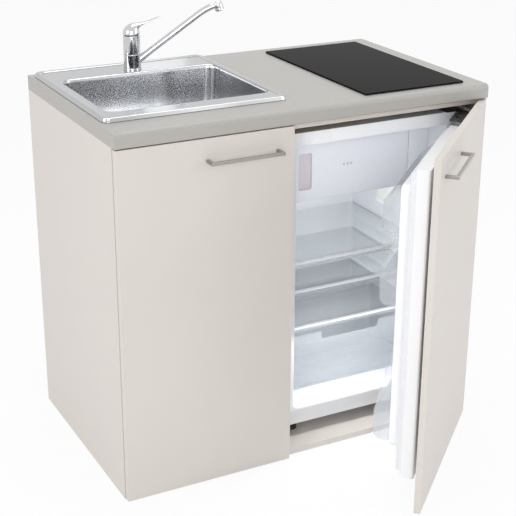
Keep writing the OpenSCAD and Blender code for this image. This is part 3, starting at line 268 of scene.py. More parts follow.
def chromeFinish():
    made = Finish("polishedChrome", colours["chrome"], 0.05, {"Metallic": 1.0})
    smear = made.noise(26.0, 4.0)
    drops = made.noise(420.0, 1.0)
    made.colour(made.between((smear - 0.4) * 0.6, 1, 0.93))
    made.roughness(0.03 + (smear - 0.45).held(0.0, 1.0) * 0.22 + (drops > 0.72) * 0.04)
    return made.bumped(smear, 0.00004, 0.2)


def hobGlassFinish():
    made = Finish("blackGlass", colours["glassBlack"], 0.08, {"Specular IOR Level": 0.03, "IOR": 1.20})
    wiped = made.noise(5.0, 3.0, made.stretched(1, 0.3, 1))
    dots = made.cells(900.0)
    made.colour(made.between((dots < 0.10) * 0.5, 1, 2.6))
    made.roughness(0.10 + wiped * 0.12)
    return made.bumped(made.noise(14.0), 0.00006, 0.25)


def plasticFinish(name, colour, roughness, grain=500.0, depth=0.00004, variation=0.02, fixed=None):
    # moulded plastic: a slightly uneven tone and a fine spark-eroded grain
    made = Finish(name, colour, roughness, fixed)
    cloud = made.noise(6.0, 3.0)
    fine = made.noise(grain, 2.0)
    made.colour(made.between(cloud, 1 - variation, 1 + variation))
    made.roughness(roughness - 0.04 + cloud * 0.06 + fine * 0.04)
    return made.bumped(fine, depth, 0.6)


def sheetFinish():
    # lacquered steel sheet with a faint orange peel
    made = Finish("lacqueredSheet", colours["sheetWhite"], 0.28, {"Coat Weight": 0.25, "Coat Roughness": 0.12})
    peel = made.noise(260.0, 2.0)
    cloud = made.noise(3.0, 2.0)
    made.colour(made.between(cloud, 0.975, 1.015))
    made.roughness(0.24 + cloud * 0.08)
    return made.bumped(peel, 0.00008, 0.35)


def clearFinish(name, colour, body, frost):
    # see-through moulding: denser where it is seen edge-on; body is how much it hides face-on
    made = Finish(name, colour, frost, {"Specular IOR Level": 0.6})
    edgeOn = made.node("ShaderNodeLayerWeight", None, {"Blend": 0.35}, "Facing")
    cloud = made.noise(18.0, 3.0)
    hides = body + edgeOn ** 3.0 * (0.60 - body) + (cloud - 0.5) * 0.06
    # painted sheen: the colour is made up to 8% lighter where the moulding is seen edge-on
    made.colour(made.between(edgeOn, 1, 1.08))
    made.feed(made.shader.inputs["Alpha"], hides.held(0.03, 1.0))
    made.roughness(frost + cloud * 0.08)
    return made.bumped(made.noise(60.0, 2.0), 0.0003, 0.4)


def hardboardFinish():
    # white paint towards the room, bare brown fibre towards the wall
    made = Finish("hardboard", colours["hardboard"], 0.7)
    fibre = made.noise(700.0, 4.0, made.stretched(1, 1, 0.4))
    behind = made.part(made.node("ShaderNodeTexCoord", output="Normal"), "Y") > 0.5
    bare = made.ramp(fibre, (0.25, made.tint(0.7)), (0.75, made.tint(1.2)))
    made.colour(made.mixed(behind, tinted(colours["board"], 0.97), bare))
    made.roughness(0.45 + behind * 0.4)
    return made.bumped(fibre, 0.0002, 0.6)


def beechFinish():
    made = Finish("beech", colours["beech"], 0.6)
    grain = made.noise(260.0, 3.0, made.stretched(0.1, 1, 1))
    made.colour(made.between(grain, 0.8, 1.1))
    return made.bumped(grain, 0.0002, 0.5)


def rubberFinish(name, colour, roughness):
    made = Finish(name, colour, roughness)
    dust = made.noise(90.0, 4.0)
    made.colour(made.between(dust, 0.93, 1.05))
    return made.bumped(made.noise(500.0, 2.0), 0.0001, 0.5)


finishes = {
    "board": boardFinish(),
    "edge": edgeFinish(),
    "chipboard": chipboardFinish(),
    "stone": stoneFinish(),
    "sinkSteel": brushedFinish("sinkSteel", tinted(colours["steel"], 0.9), "X", 0.11, 0.08),
    "bowlSteel": bowlFinish(),
    "nickel": brushedFinish("brushedNickel", colours["nickel"], "X", 0.17),
    "zinc": brushedFinish("zincSteel", colours["zinc"], "Y", 0.34, 0.2),
    "chrome": chromeFinish(),
    "brass": brushedFinish("brass", colours["brass"], "Z", 0.30, 0.2),
    "hobGlass": hobGlassFinish(),
    "hobTray": brushedFinish("hobTray", tinted(colours["zinc"], 0.9), "X", 0.42, 0.2),
    "sheet": sheetFinish(),
    "liner": plasticFinish("linerPlastic", colours["linerWhite"], 0.30, variation=0.012),
    "kick": plasticFinish("kickStrip", colours["kick"], 0.4),
    "flap": plasticFinish("flapPlastic", colours["flap"], 0.30, variation=0.012),
    "grip": plasticFinish("gripRecessShade", colours["grip"], 0.40),
    "mark": plasticFinish("printedMark", colours["mark"], 0.5, depth=0.00002),
    "lens": plasticFinish("lampLens", colours["lens"], 0.22, 300.0, 0.00003),
    "doorLiner": plasticFinish("doorLinerPlastic", colours["doorLiner"], 0.28, 500.0, 0.00003, 0.012),
    "trim": plasticFinish("trimPlastic", colours["trim"], 0.26, 500.0, 0.00003, 0.012),
    "clear": clearFinish("clearPlastic", colours["clear"], 0.22, 0.16),
    "shelfGlass": clearFinish("shelfGlass", colours["shelfGlass"], 0.05, 0.04),
    "dark": plasticFinish("darkPlastic", colours["darkPlastic"], 0.45, 900.0, 0.0001, 0.08),
    "black": plasticFinish("blackPaint", colours["blackPaint"], 0.32, 240.0, 0.0001, 0.10, {"Coat Weight": 0.4}),
    "pipe": plasticFinish("pipePlastic", colours["pipe"], 0.34, 420.0, 0.0001, 0.03),
    "gasket": rubberFinish("sealRubber", colours["gasket"], 0.55),
    "foam": rubberFinish("sealFoam", colours["foam"], 0.85),
    "hardboard": hardboardFinish(),
    "beech": beechFinish(),
    "insulation": rubberFinish("heaterInsulation", colours["insulation"], 0.95),
    "ribbon": brushedFinish("heaterRibbon", colours["ribbon"], "Z", 0.5, 0.3),
    "circuit": plasticFinish("circuitBoard", colours["circuit"], 0.3, 500.0, 0.0001, 0.10),
}
print("finishes made:", len(finishes))


def bodyJoint(body):
    return next(joint for joint in frame["joints"] if joint["child"] == body)


def openTurn(body):
    # doors are modelled shut and drawn open by as far as their joint can go back
    joint = bodyJoint(body)
    pin = Matrix.Translation(joint["pos_m"])
    return pin @ Matrix.Rotation(math.radians(-joint["range_deg"][0]), 4, "Z") @ pin.inverted()


def shutBox(node, turn):
    # a door node's corners as they are when the door is shut
    spots = [turn.inverted() @ v.co for v in frame["nodes"][node].data.vertices]
    return tuple(Vector(pick(s[k] for s in spots) for k in range(3)) for pick in (min, max))


def boxOf(node, turn=None):
    return shutBox(node, turn) if turn else nodeBox(node)


def upright(u, v, w):
    return Vector((u, v, w))


def alongX(u, v, w):
    return Vector((w, u, v))


def alongY(u, v, w):
    return Vector((u, w, v))


def arcPoints(cx, cy, r, start, sweep, steps):
    angles = [math.radians(start + sweep * k / steps) for k in range(steps + 1)]
    return [(cx + r * math.cos(a), cy + r * math.sin(a)) for a in angles]


def quarter(steps=6):
    return [math.pi / 2 * k / steps for k in range(steps + 1)]


def roundRect(x0, y0, x1, y1, r, steps=6):
    r = max(min(r, (x1 - x0) / 2, (y1 - y0) / 2), 0.00001)
    return (arcPoints(x1 - r, y0 + r, r, -90, 90, steps) + arcPoints(x1 - r, y1 - r, r, 0, 90, steps)
            + arcPoints(x0 + r, y1 - r, r, 90, 90, steps) + arcPoints(x0 + r, y0 + r, r, 180, 90, steps))


def boxRect(box, r, inset=0.0, flat="xy", steps=6):
    # a box's rounded outline, seen along the axis that flat leaves out
    (x0, y0), (x1, y1) = ([getattr(corner, k) for k in flat] for corner in box)
    return roundRect(x0 + inset, y0 + inset, x1 - inset, y1 - inset, r, steps)


def circlePoints(cx, cy, r, steps=48):
    return arcPoints(cx, cy, r, 0, 360 - 360 / steps, steps - 1)


def shrunk(outline, distance):
    # each corner moves inward along the halfway line of its two sides
    moved = []
    for k, here in enumerate(outline):
        p, q = Vector(outline[k - 1]), Vector(outline[(k + 1) % len(outline)])
        before, after = (Vector(here) - p), (q - Vector(here))
        if before.length < 1e-9 or after.length < 1e-9:
            before = after = q - p
        sides = [Vector((-d.y, d.x)).normalized() for d in (before, after)]
        half = (sides[0] + sides[1]).normalized()
        moved.append(tuple(Vector(here) + half * distance / max(half.dot(sides[0]), 0.3)))
    return moved


def addLoft(bm, rings, caps=(True, True), finish=0, ringLoop=False):
    loops = [[bm.verts.new(p) for p in ring] for ring in rings]
    pairs = list(zip(loops, loops[1:])) + ([(loops[-1], loops[0])] if ringLoop else [])
    made = []
    for low, high in pairs:
        for k in range(len(low)):
            n = (k + 1) % len(low)
            made.append(bm.faces.new((low[k], low[n], high[n], high[k])))
    if caps[0] and not ringLoop:
        made.append(bm.faces.new(loops[0][::-1]))
    if caps[1] and not ringLoop:
        made.append(bm.faces.new(loops[-1]))
    for face in made:
        face.material_index = finish
    return made


def addPrism(bm, outline, w0, w1, edge=0.0, place=upright, finish=0, steps=2):
    # an outline drawn out from w0 to w1, with both rims rounded by edge
    levels = [(edge * (1 - math.sin(t)), edge * (1 - math.cos(t)))
              for t in quarter(steps)] if edge else [(0.0, 0.0)]
    stations = [(inset, w0 + rise) for inset, rise in levels]
    stations += [(inset, w1 - rise) for inset, rise in levels[::-1]]
    return addLoft(bm, [[place(u, v, w) for u, v in shrunk(outline, inset)] for inset, w in stations],
                   finish=finish)


def addBoard(bm, lo, hi, edge=0.0006, finish=0, segments=2):
    made = bmesh.ops.create_cube(bm, size=1.0)["verts"]
    middle = (Vector(lo) + Vector(hi)) / 2
    size = Vector(hi) - Vector(lo)
    for vert in made:
        vert.co = Vector(a * b + c for a, b, c in zip(vert.co, size, middle))
    faces = {face for vert in made for face in vert.link_faces}
    edges = list(dict.fromkeys(e for vert in made for e in vert.link_edges))   # in the same order each run
    if edge:
        grown = bmesh.ops.bevel(bm, geom=edges, offset=edge, segments=segments, affect="EDGES", profile=0.5,
                                clamp_overlap=True)
        faces = {f for f in faces if f.is_valid} | set(grown["faces"])
    for face in faces:
        face.material_index = finish
    return faces


def addLathe(bm, profile, at=(0, 0, 0), steps=48, place=upright, finish=0, caps=(True, True)):
    centre = Vector(at)
    rings = [[centre + place(u, v, w) for u, v in circlePoints(0, 0, max(r, 0.00001), steps)]
             for r, w in profile]
    return addLoft(bm, rings, caps, finish)


def addSweep(bm, path, sizes, sides=16, side=(0, 1, 0)):
    # a tube or bar along a path; sizes holds (half width, half height) for each point
    points = [Vector(p) for p in path]
    rings = []
    across = Vector(side)
    for k, here in enumerate(points):
        ahead = points[min(k + 1, len(points) - 1)] - points[max(k - 1, 0)]
        ahead.normalize()
        across = (across - ahead * across.dot(ahead)).normalized()
        above = ahead.cross(across)
        wide, high = sizes[k] if isinstance(sizes, list) else sizes
        rings.append([here + across * u * wide + above * v * high for u, v in circlePoints(0, 0, 1, sides)])
    return addLoft(bm, rings)


samePoint = 0.000002   # corners closer than this become one


def meshObject(name, bm, materials, smooth, turn=None):
    bmesh.ops.remove_doubles(bm, verts=bm.verts, dist=samePoint)
    bmesh.ops.dissolve_degenerate(bm, edges=bm.edges, dist=0.000001)
    bmesh.ops.recalc_face_normals(bm, faces=bm.faces)
    if turn:
        bm.transform(turn)
    mesh = bpy.data.meshes.new(name)
    bm.to_mesh(mesh)
    bm.free()
    for material in materials:
        mesh.materials.append(material)
    if smooth:
        mesh.shade_smooth()
        mesh.set_sharp_from_angle(angle=math.radians(smooth))
    made = bpy.data.objects.new(name, mesh)
    bpy.context.scene.collection.objects.link(made)
    if smooth:
        even = made.modifiers.new("evenNormals", "WEIGHTED_NORMAL")
        even.keep_sharp = True
    return made


def newPiece(name, bm, finish, body, replaces=None, smooth=32, turn=None):
    names = [finish] if isinstance(finish, str) else finish
    made = meshObject(name, bm, [finishes[f] for f in names], smooth, turn)
    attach(made, body)
    if replaces:
        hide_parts(replaces)
    return made


def carve(target, cutter):
    # takes the cutter's shape out of a mesh object; the cutter's finish lines the cut
    tool = bpy.data.meshes.new("cutter")
    bmesh.ops.recalc_face_normals(cutter, faces=cutter.faces)
    cutter.to_mesh(tool)
    cutter.free()
    toolObject = bpy.data.objects.new("cutter", tool)
    bpy.context.scene.collection.objects.link(toolObject)
    for material in target.data.materials:
        tool.materials.append(material)
    cut = target.modifiers.new("cut", "BOOLEAN")
    cut.operation = "DIFFERENCE"
    cut.solver = "EXACT"
    cut.object = toolObject
    others = [m for m in target.modifiers if m != cut]
    for modifier in others:
        modifier.show_viewport = False
    graph = bpy.context.evaluated_depsgraph_get()
    result = bpy.data.meshes.new_from_object(target.evaluated_get(graph))
    target.modifiers.remove(cut)
    for modifier in others:
        modifier.show_viewport = True
    old = target.data
    target.data = result
    bpy.data.meshes.remove(old)
    bpy.data.objects.remove(toolObject)
    bpy.data.meshes.remove(tool)
    if others:
        result.set_sharp_from_angle(angle=math.radians(32))
    return target


def carveBy(target, add, *shape, **more):
    cutter = bmesh.new()
    add(cutter, *shape, **more)
    return carve(target, cutter)


def nodeBox(node):
    lo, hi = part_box(node)
    return Vector(lo), Vector(hi)


rightTurn = openTurn("right_door")
fridgeTurn = openTurn("fridge_door")

cabinet = {
    "edge": 0.0006,
    "pinHoleR": 0.0025,
    "pinHoleDepth": 0.009,
    "pinHoleStep": 0.032,
    "pinHoleLow": 0.30,
    "pinHoleHigh": 0.72,
    "pinHoleSetback": 0.037,   # the usual distance from a panel's edge
}


def paintEdges(faces, thin, bands):
    # faces across a board get its edge finishes: banding (1) on the sides named in bands, chips (2) elsewhere
    for face in faces:
        normal = face.normal
        k = max(range(3), key=lambda i: abs(normal[i]))
        if k == thin or abs(normal[k]) < 0.98:
            continue
        side = ("-" if normal[k] < 0 else "+") + "XYZ"[k]
        face.material_index = 1 if side in bands else 2


def boardPiece(name, node, body, thin, bands, turn=None, box=None, holes=()):
    lo, hi = box or nodeBox(node)
    bm = bmesh.new()
    faces = addBoard(bm, lo, hi, cabinet["edge"])
    bm.normal_update()
    paintEdges(faces, "XYZ".index(thin), bands)
    made = newPiece(name, bm, ["board", "edge", "chipboard"], body, node, smooth=0)
    if holes:
        cutter = bmesh.new()
        for at, place, r, depth in holes:
            addLathe(cutter, [(r, -0.001), (r, depth)], at, 20, place, 2)
        carve(made, cutter)
    if turn:
        made.data.transform(turn)
    return made


def pinHoles(x, direction):
    lo, hi = nodeBox("left_side_panel")
    count = int((cabinet["pinHoleHigh"] - cabinet["pinHoleLow"]) / cabinet["pinHoleStep"])
    return [((x, y, cabinet["pinHoleLow"] + k * cabinet["pinHoleStep"]),
             lambda u, v, w: Vector((w * direction, u, v)),
             cabinet["pinHoleR"], cabinet["pinHoleDepth"])
            for y in (lo.y + cabinet["pinHoleSetback"], hi.y - cabinet["pinHoleSetback"]) for k in range(count)]


boardPiece("leftSide", "left_side_panel", "cabinet", "X", ("-Y",),
           holes=pinHoles(nodeBox("left_side_panel")[1].x, -1))
boardPiece("rightSide", "right_side_panel", "cabinet", "X", ("-Y",))
boardPiece("bottomBoard", "bottom_board", "cabinet", "Z", ("-Y",))


def partitionPiece():
    # the partition is notched where the sink's bowl passes over it
    lo, hi = nodeBox("partition")
    gap, under = 0.012, 0.011
    low = (lo.x - 0.01, bowl["front"] - gap, nodeBox("sink_bowl")[0].z - under)
    made = boardPiece("middlePanel", "partition", "cabinet", "X", ("-Y",))
    carveBy(made, addBoard, low, (hi.x + 0.01, bowl["rear"] + gap, hi.z + 0.01), 0, 2)


bowl = {
    "left": -0.455, "right": -0.038, "front": -0.150, "rear": 0.176,
    "depth": 0.150,
    "cornerR": 0.028,
    "lipR": 0.006,        # rounding from the deck into the bowl
    "floorR": 0.020,      # rounding from the walls into the floor
    "draft": 0.008,       # how far each wall leans in
    "fall": 0.0008,       # how far the floor slopes to the waste
    "wasteR": 0.046,
}
rim = {
    "cornerR": 0.018,
    "lipH": 0.0025,       # height of the pressed ridge over the deck
    "ridgeIn": 0.004,
    "ridgeW": 0.012,
    "thickness": 0.001,
}


def sinkRings(deck, lo, hi):
    steps = 8
    rings = []

    def ring(x0, y0, x1, y1, r, z):
        rings.append([Vector((x, y, z)) for x, y in roundRect(x0, y0, x1, y1, r, steps)])

    def rimRing(inset, z):
        ring(lo.x + inset, lo.y + inset, hi.x - inset, hi.y - inset, rim["cornerR"] - inset * 0.5, z)

    def bowlRing(inset, z, r=None):
        ring(bowl["left"] + inset, bowl["front"] + inset, bowl["right"] - inset, bowl["rear"] - inset,
             bowl["cornerR"] - inset * 0.3 if r is None else r, z)

    top = deck + rim["lipH"]
    ridge, inside = rim["ridgeIn"], rim["ridgeIn"] + rim["ridgeW"]
    for inset, z in ((0.0010, lo.z), (0.0, lo.z + 0.0008), (0.0002, lo.z + 0.0022), (0.0016, lo.z + 0.0036),
                     (ridge - 0.0012, top - 0.0010), (ridge, top - 0.0003), (ridge + 0.0014, top),
                     (inside - 0.004, top), (inside - 0.002, top - 0.0006), (inside, deck + 0.0004),
                     (inside + 0.002, deck)):
        rimRing(inset, z)
    lip = bowl["lipR"]
    bowlRing(-lip - 0.001, deck, bowl["cornerR"] + lip)
    for t in quarter():
        out = lip * (1 - math.sin(t))
        bowlRing(-out, deck - lip * (1 - math.cos(t)), bowl["cornerR"] + out)
    floor = deck - bowl["depth"]
    bend = bowl["floorR"]
    bowlRing(0.0005, deck - lip - 0.003)
    bowlRing(bowl["draft"] * 0.85, floor + bend + 0.004)
    for k, t in enumerate(quarter()):
        bowlRing(bowl["draft"] * 0.9 + bend * (1 - math.cos(t)), floor + bend * (1 - math.sin(t)),
                 bowl["cornerR"] * (1 - 0.15 * k / 6))
    bowlRing(bowl["draft"] + bend + 0.006, floor - 0.0002)
    centre = ((bowl["left"] + bowl["right"]) / 2, (bowl["front"] + bowl["rear"]) / 2)
    for wider, lower in ((0.014, 0.0), (0.011, 0.00004), (0.009, 0.00032), (0.0, 0.00036)):
        r, drop = bowl["wasteR"] + wider, bowl["fall"] + lower
        ring(centre[0] - r, centre[1] - r, centre[0] + r, centre[1] + r, r, floor - 0.0002 - drop)
    return rings


def sinkPiece():
    lo, hi = nodeBox("sink_bowl")
    deck = hi.z
    edge = Vector((lo.x, lo.y, nodeBox("worktop")[1].z + 0.0004))
    bm = bmesh.new()
    addLoft(bm, sinkRings(deck, edge, hi), caps=(False, False))
    bmesh.ops.remove_doubles(bm, verts=bm.verts, dist=samePoint)
    bm.normal_update()
    for face in bm.faces:
        low = min(v.co.z for v in face.verts)
        face.material_index = 1 if low < deck - 0.004 else 0
    made = newPiece("sinkBowl", bm, ["sinkSteel", "bowlSteel"], "cabinet", "sink_bowl", smooth=40)
    sheet = made.modifiers.new("sheet", "SOLIDIFY")
    sheet.thickness = rim["thickness"]
    sheet.offset = -1
    made.modifiers.move(1, 0)
    return made


partitionPiece()
sinkPiece()
print("cabinet and sink made")

worktop = {
    "frontR": 0.011,
    "underR": 0.004,
    "endEdge": 0.0008,
    # each opening: how far inside its piece's edge, and the corners' radius
    "cuts": {"sink_bowl": (0.012, 0.020), "hob_glass": (0.010, 0.012)},
}


def worktopPiece():
    lo, hi = nodeBox("worktop")
    r, under = worktop["frontR"], worktop["underR"]
    side = ([(hi.y, lo.z), (hi.y, hi.z)] + arcPoints(lo.y + r, hi.z - r, r, 90, 90, 8)
            + arcPoints(lo.y + under, lo.z + under, under, 180, 90, 4))
    bm = bmesh.new()
    addPrism(bm, side, lo.x, hi.x, worktop["endEdge"], alongX)
    bmesh.ops.recalc_face_normals(bm, faces=bm.faces)
    for face in bm.faces:
        if face.normal.z < -0.9:
            face.material_index = 1
    made = newPiece("worktopBoard", bm, ["stone", "chipboard"], "cabinet", "worktop")
    cutter = bmesh.new()
    for node, (inset, r) in worktop["cuts"].items():
        addPrism(cutter, boxRect(nodeBox(node), r, inset), lo.z - 0.01, hi.z + 0.01, finish=1)
    return carve(made, cutter)


worktopPiece()

door = {
    "cupDepth": 0.0115,
    "leftCupR": 0.0175,
    "rightCupR": 0.013,
    "cupEdge": 0.005,     # board left between a cup and the door's edge
    "leftCupsIn": 0.100,  # from the door's lower and upper end
    "rightCupLow": 0.038,
    "rightCupUnder": 0.028,   # under the worktop
}


def doorPiece(name, node, cups, cupR, cupX, body, turn=None):
    lo, hi = boxOf(node, turn)
    holes = [((cupX, hi.y, z), lambda u, v, w: Vector((u, -w, v)), cupR, door["cupDepth"]) for z in cups]
    return boardPiece(name, node, body, "Y", ("-X", "+X", "-Z", "+Z"), turn=turn, box=(lo, hi), holes=holes)


leftDoorLow, leftDoorHigh = nodeBox("left_door")
rightDoorHigh = shutBox("right_door", rightTurn)[1]
leftCups = (door["leftCupsIn"], leftDoorHigh.z - door["leftCupsIn"])
rightCups = (door["rightCupLow"], nodeBox("worktop")[0].z - door["rightCupUnder"])
leftCupX = leftDoorLow.x + door["cupEdge"] + door["leftCupR"]
rightCupX = rightDoorHigh.x - door["cupEdge"] - door["rightCupR"]
doorPiece("leftDoor", "left_door", leftCups, door["leftCupR"], leftCupX, "left_door")
doorPiece("rightDoor", "right_door", rightCups, door["rightCupR"], rightCupX, "right_door", rightTurn)

handle = {"bar": 0.008, "outerR": 0.0022, "innerR": 0.0012, "edge": 0.0009}


def handlePiece(name, node, body, turn=None):
    lo, hi = boxOf(node, turn)
    bar, outer, inner = handle["bar"], handle["outerR"], handle["innerR"]
    outline = (arcPoints(lo.x + outer, lo.y + outer, outer, 180, 90, 4)
               + arcPoints(hi.x - outer, lo.y + outer, outer, 270, 90, 4)
               + [(hi.x, hi.y), (hi.x - bar, hi.y)]
               + arcPoints(hi.x - bar - inner, lo.y + bar + inner, inner, 0, -90, 3)
               + arcPoints(lo.x + bar + inner, lo.y + bar + inner, inner, 270, -90, 3)
               + [(lo.x + bar, hi.y), (lo.x, hi.y)])
    bm = bmesh.new()
    addPrism(bm, outline, lo.z, hi.z, handle["edge"], steps=3)
    return newPiece(name, bm, "nickel", body, node, turn=turn)


handlePiece("leftHandle", "left_handle", "left_door")
handlePiece("rightHandle", "right_handle", "right_door", rightTurn)
print("worktop, doors and handles made")

tap = {
    "turn": 19.0,         # degrees from the right towards the front
    "columnR": 0.022,
    "collarTop": 0.0345,  # above the sink's deck
    "turnLow": 0.0053,    # where the turning collar starts
    "spoutAt": 0.010,
    "spoutZ": 0.0113,     # height of the spout's line at the column's middle
    "topZ": 0.087,
    "spoutSlope": 36.0,
    "spoutEndSlope": 18.0,
    "spoutStraight": 0.214,
    "spoutBendR": 0.150,
    "spoutR": 0.0083,
    "nozzleR": 0.0120,
    "nozzleL": 0.024,
}
tapJoint = bodyJoint("spout")
deckZ = nodeBox("sink_bowl")[1].z
tapTurn = Matrix.Translation((tapJoint["pos_m"][0], tapJoint["pos_m"][1], deckZ)) @ Matrix.Rotation(
    math.radians(-tap["turn"]), 4, "Z")


def tapBodyPiece():
    # foot ring, then the column above the turning collar
    r, top, collar = tap["columnR"], tap["topZ"], tap["collarTop"] + 0.005
    bm = bmesh.new()
    addLathe(bm, [(r + 0.0004, 0.0), (r + 0.0010, 0.0004), (r + 0.0010, 0.0036), (r + 0.0004, 0.0046),
                  (r - 0.0010, 0.0050), (r - 0.0030, 0.0050)], steps=64)
    addLathe(bm, [(r - 0.004, 0.004), (r - 0.004, collar)], steps=64)
    addLathe(bm, [(r - 0.003, collar), (r - 0.0008, collar), (r, collar + 0.0008), (r, top - 0.0008),
                  (r - 0.0008, top), (r - 0.004, top)], steps=64)
    newPiece("tapColumn", bm, "chrome", "cabinet", "tap_body", turn=tapTurn, smooth=40)
    ring = bmesh.new()   # dark ring filling the gap under the cap, painted shade for the gap
    addLathe(ring, [(r - 0.0060, top - 0.001), (r - 0.0034, top), (r - 0.0034, top + 0.0010),
                    (r - 0.0070, top + 0.0013)])
    newPiece("tapGapShadeRing", ring, "dark", "cabinet", turn=tapTurn)


def spoutPath():
    slope, end = math.radians(tap["spoutSlope"]), math.radians(tap["spoutEndSlope"])
    at, rise, reach = tap["spoutAt"], tap["spoutZ"], tap["spoutStraight"]
    start = Vector((at, 0, rise + at * math.tan(slope)))
    bendFrom = Vector((reach * math.cos(slope), 0, rise + reach * math.sin(slope)))
    path = [start.lerp(bendFrom, k / 12) for k in range(13)]
    for k in range(1, 11):
        a = slope - (slope - end) * k / 10
        path.append(bendFrom + tap["spoutBendR"] * Vector((math.sin(slope) - math.sin(a), 0,
                                                          math.cos(a) - math.cos(slope))))
    return path


def spoutPiece():
    r, path = tap["spoutR"], spoutPath()
    low, high = tap["turnLow"], tap["collarTop"] + 0.0045
    bm = bmesh.new()
    wide = tap["columnR"]
    addLathe(bm, [(wide - 0.0030, low), (wide - 0.0006, low), (wide, low + 0.0006), (wide, high - 0.0006),
                  (wide - 0.0006, high), (wide - 0.0030, high)], steps=64)
    sizes = []
    for k, here in enumerate(path):
        swell = 0.0035 * math.exp(-max(0.0, here.x - 0.018) / 0.008)
        sizes.append((r + swell, r + swell * 0.8))
    addSweep(bm, path, sizes, 32)
    end = path[-1]
    slope = math.radians(tap["spoutEndSlope"])
    ahead = Vector((math.cos(slope), 0, math.sin(slope)))
    down = Vector((math.sin(slope), 0, -math.cos(slope)))
    head = end + ahead * 0.008
    nozzle, length = tap["nozzleR"], tap["nozzleL"]

    def across(u, v, w):
        return ahead * u + Vector((0, 1, 0)) * v + down * w

    top = -r + 0.0002
    mouth = top + length
    addLathe(bm, [(0.004, top), (nozzle * 0.55, top + 0.0003), (nozzle * 0.86, top + 0.0022),
                  (nozzle, top + 0.0062), (nozzle, mouth - 0.008)], head, 48, across, caps=(True, False))
    # a fine groove over the mouth, then the rolled lip
    addLathe(bm, [(nozzle - inset, mouth - above) for inset, above in (
        (0, 0.008), (0.0005, 0.0074), (0.0005, 0.0068), (0, 0.0062), (0, 0.0006), (0.0006, 0), (0.0022, 0),
        (0.0022, 0.004))], head, 48, across, caps=(False, False))
    newPiece("tapSpout", bm, "chrome", "spout", "tap_spout", turn=tapTurn, smooth=42)


def leverPiece():
    # the cap closes over the column and draws out into a thin blade
    base = tap["topZ"] + 0.003
    stations = [   # centre x and z, tilt of the section, half width, half height
        (0.0000, base, 0, 0.0220, 0.0220), (0.0000, base + 0.0006, 0, 0.0222, 0.0222),
        (0.0000, base + 0.0050, 0, 0.0221, 0.0221), (0.0008, base + 0.0095, 6, 0.0214, 0.0212),
        (0.0030, base + 0.0138, 16, 0.0198, 0.0186), (0.0068, base + 0.0176, 29, 0.0174, 0.0150),
        (0.0120, base + 0.0206, 44, 0.0148, 0.0108), (0.0185, base + 0.0232, 57, 0.0126, 0.0070),
        (0.0260, base + 0.0256, 64, 0.0110, 0.0044), (0.0360, base + 0.0288, 68, 0.0098, 0.0031),
        (0.0480, base + 0.0328, 70, 0.0090, 0.0025), (0.0600, base + 0.0372, 70, 0.0084, 0.0022),
        (0.0700, base + 0.0408, 70, 0.0078, 0.0020), (0.0750, base + 0.0426, 70, 0.0066, 0.0017),
        (0.0768, base + 0.0432, 70, 0.0046, 0.0012)]
    rings = []
    for x, z, tilt, wide, high in stations:
        a = math.radians(tilt)
        up = Vector((-math.cos(a), 0, math.sin(a)))   # section's second direction, leaning back as the cap tilts
        rings.append([Vector((x, 0, z)) + Vector((0, 1, 0)) * u * wide - up * v * high
                      for u, v in circlePoints(0, 0, 1, 40)])
    bm = bmesh.new()
    addLoft(bm, rings)
    newPiece("tapLever", bm, "chrome", "tap_lift", "tap_handle", turn=tapTurn, smooth=60)


tapBodyPiece()
spoutPiece()
leverPiece()
print("tap made")


def blockPiece(name, node, finish, body, r, edge, turn=None, steps=2):
    # a block as large as its node, with rounded corners and rims
    box = boxOf(node, turn)
    bm = bmesh.new()
    addPrism(bm, boxRect(box, r), box[0].z, box[1].z, edge, steps=steps)
    return newPiece(name, bm, finish, body, node, turn=turn)


hob = {"cornerR": 0.006, "edge": 0.0014}
blockPiece("hobGlass", "hob_glass", "hobGlass", "cabinet", hob["cornerR"], hob["edge"], steps=3)

fridge = {
    "cornerR": 0.006, "edge": 0.0015,
    "kickHeight": 0.043, "kickIn": 0.006,
    "bayFront": 0.125, "bayTop": 0.210, "baySide": 0.014,
    "linerOut": 0.004,    # flange of the liner over the front frame
    "throat": 0.003,      # rounding from the flange into the cavity
    "cavityR": 0.016, "rearR": 0.014,
    "ribDepth": 0.007, "ribHeight": 0.005, "ribFront": -0.139, "ribRear": 0.199,
}
cavity = {"left": -0.006, "right": 0.432, "rear": 0.213, "floor": 0.104, "top": 0.816,
          "humpY": 0.093, "humpZ": 0.240, "humpR": 0.012}
shelves = {"heights": (0.286, 0.390, 0.470), "trimHeights": (0.014, 0.022, 0.014), "bead": 0.0052, "glass": 0.004,
           "front": -0.151, "trimDepth": 0.010, "left": -0.002, "right": 0.428, "rear": 0.209}


def casePiece():
    lo, hi = nodeBox("fridge_casing")
    made = blockPiece("fridgeCase", "fridge_casing", ["sheet", "kick"], "cabinet", fridge["cornerR"],
                      fridge["edge"])
    out, slack = fridge["linerOut"], 0.0015
    left, right, top, hump = cavity["left"], cavity["right"], cavity["top"], cavity["humpY"]
    carveBy(made, addPrism, roundRect(left - out, cavity["floor"] - out, right + out, top + out,
                                      fridge["cavityR"] + out), lo.y - 0.01, hump + slack, place=alongY)
    carveBy(made, addPrism, roundRect(left - slack, cavity["humpZ"] - slack, right + slack, top + slack, 0.003),
            hump - 0.02, cavity["rear"] + slack, place=alongY)
    recess = bmesh.new()
    addBoard(recess, (lo.x - 0.01, lo.y - 0.01, lo.z - 0.01),
             (hi.x + 0.01, lo.y + fridge["kickIn"], lo.z + fridge["kickHeight"]), 0, 1)
    addBoard(recess, (lo.x + fridge["baySide"], fridge["bayFront"], lo.z - 0.01),
             (hi.x - fridge["baySide"], hi.y + 0.01, fridge["bayTop"]), 0, 1)
    carve(made, recess)


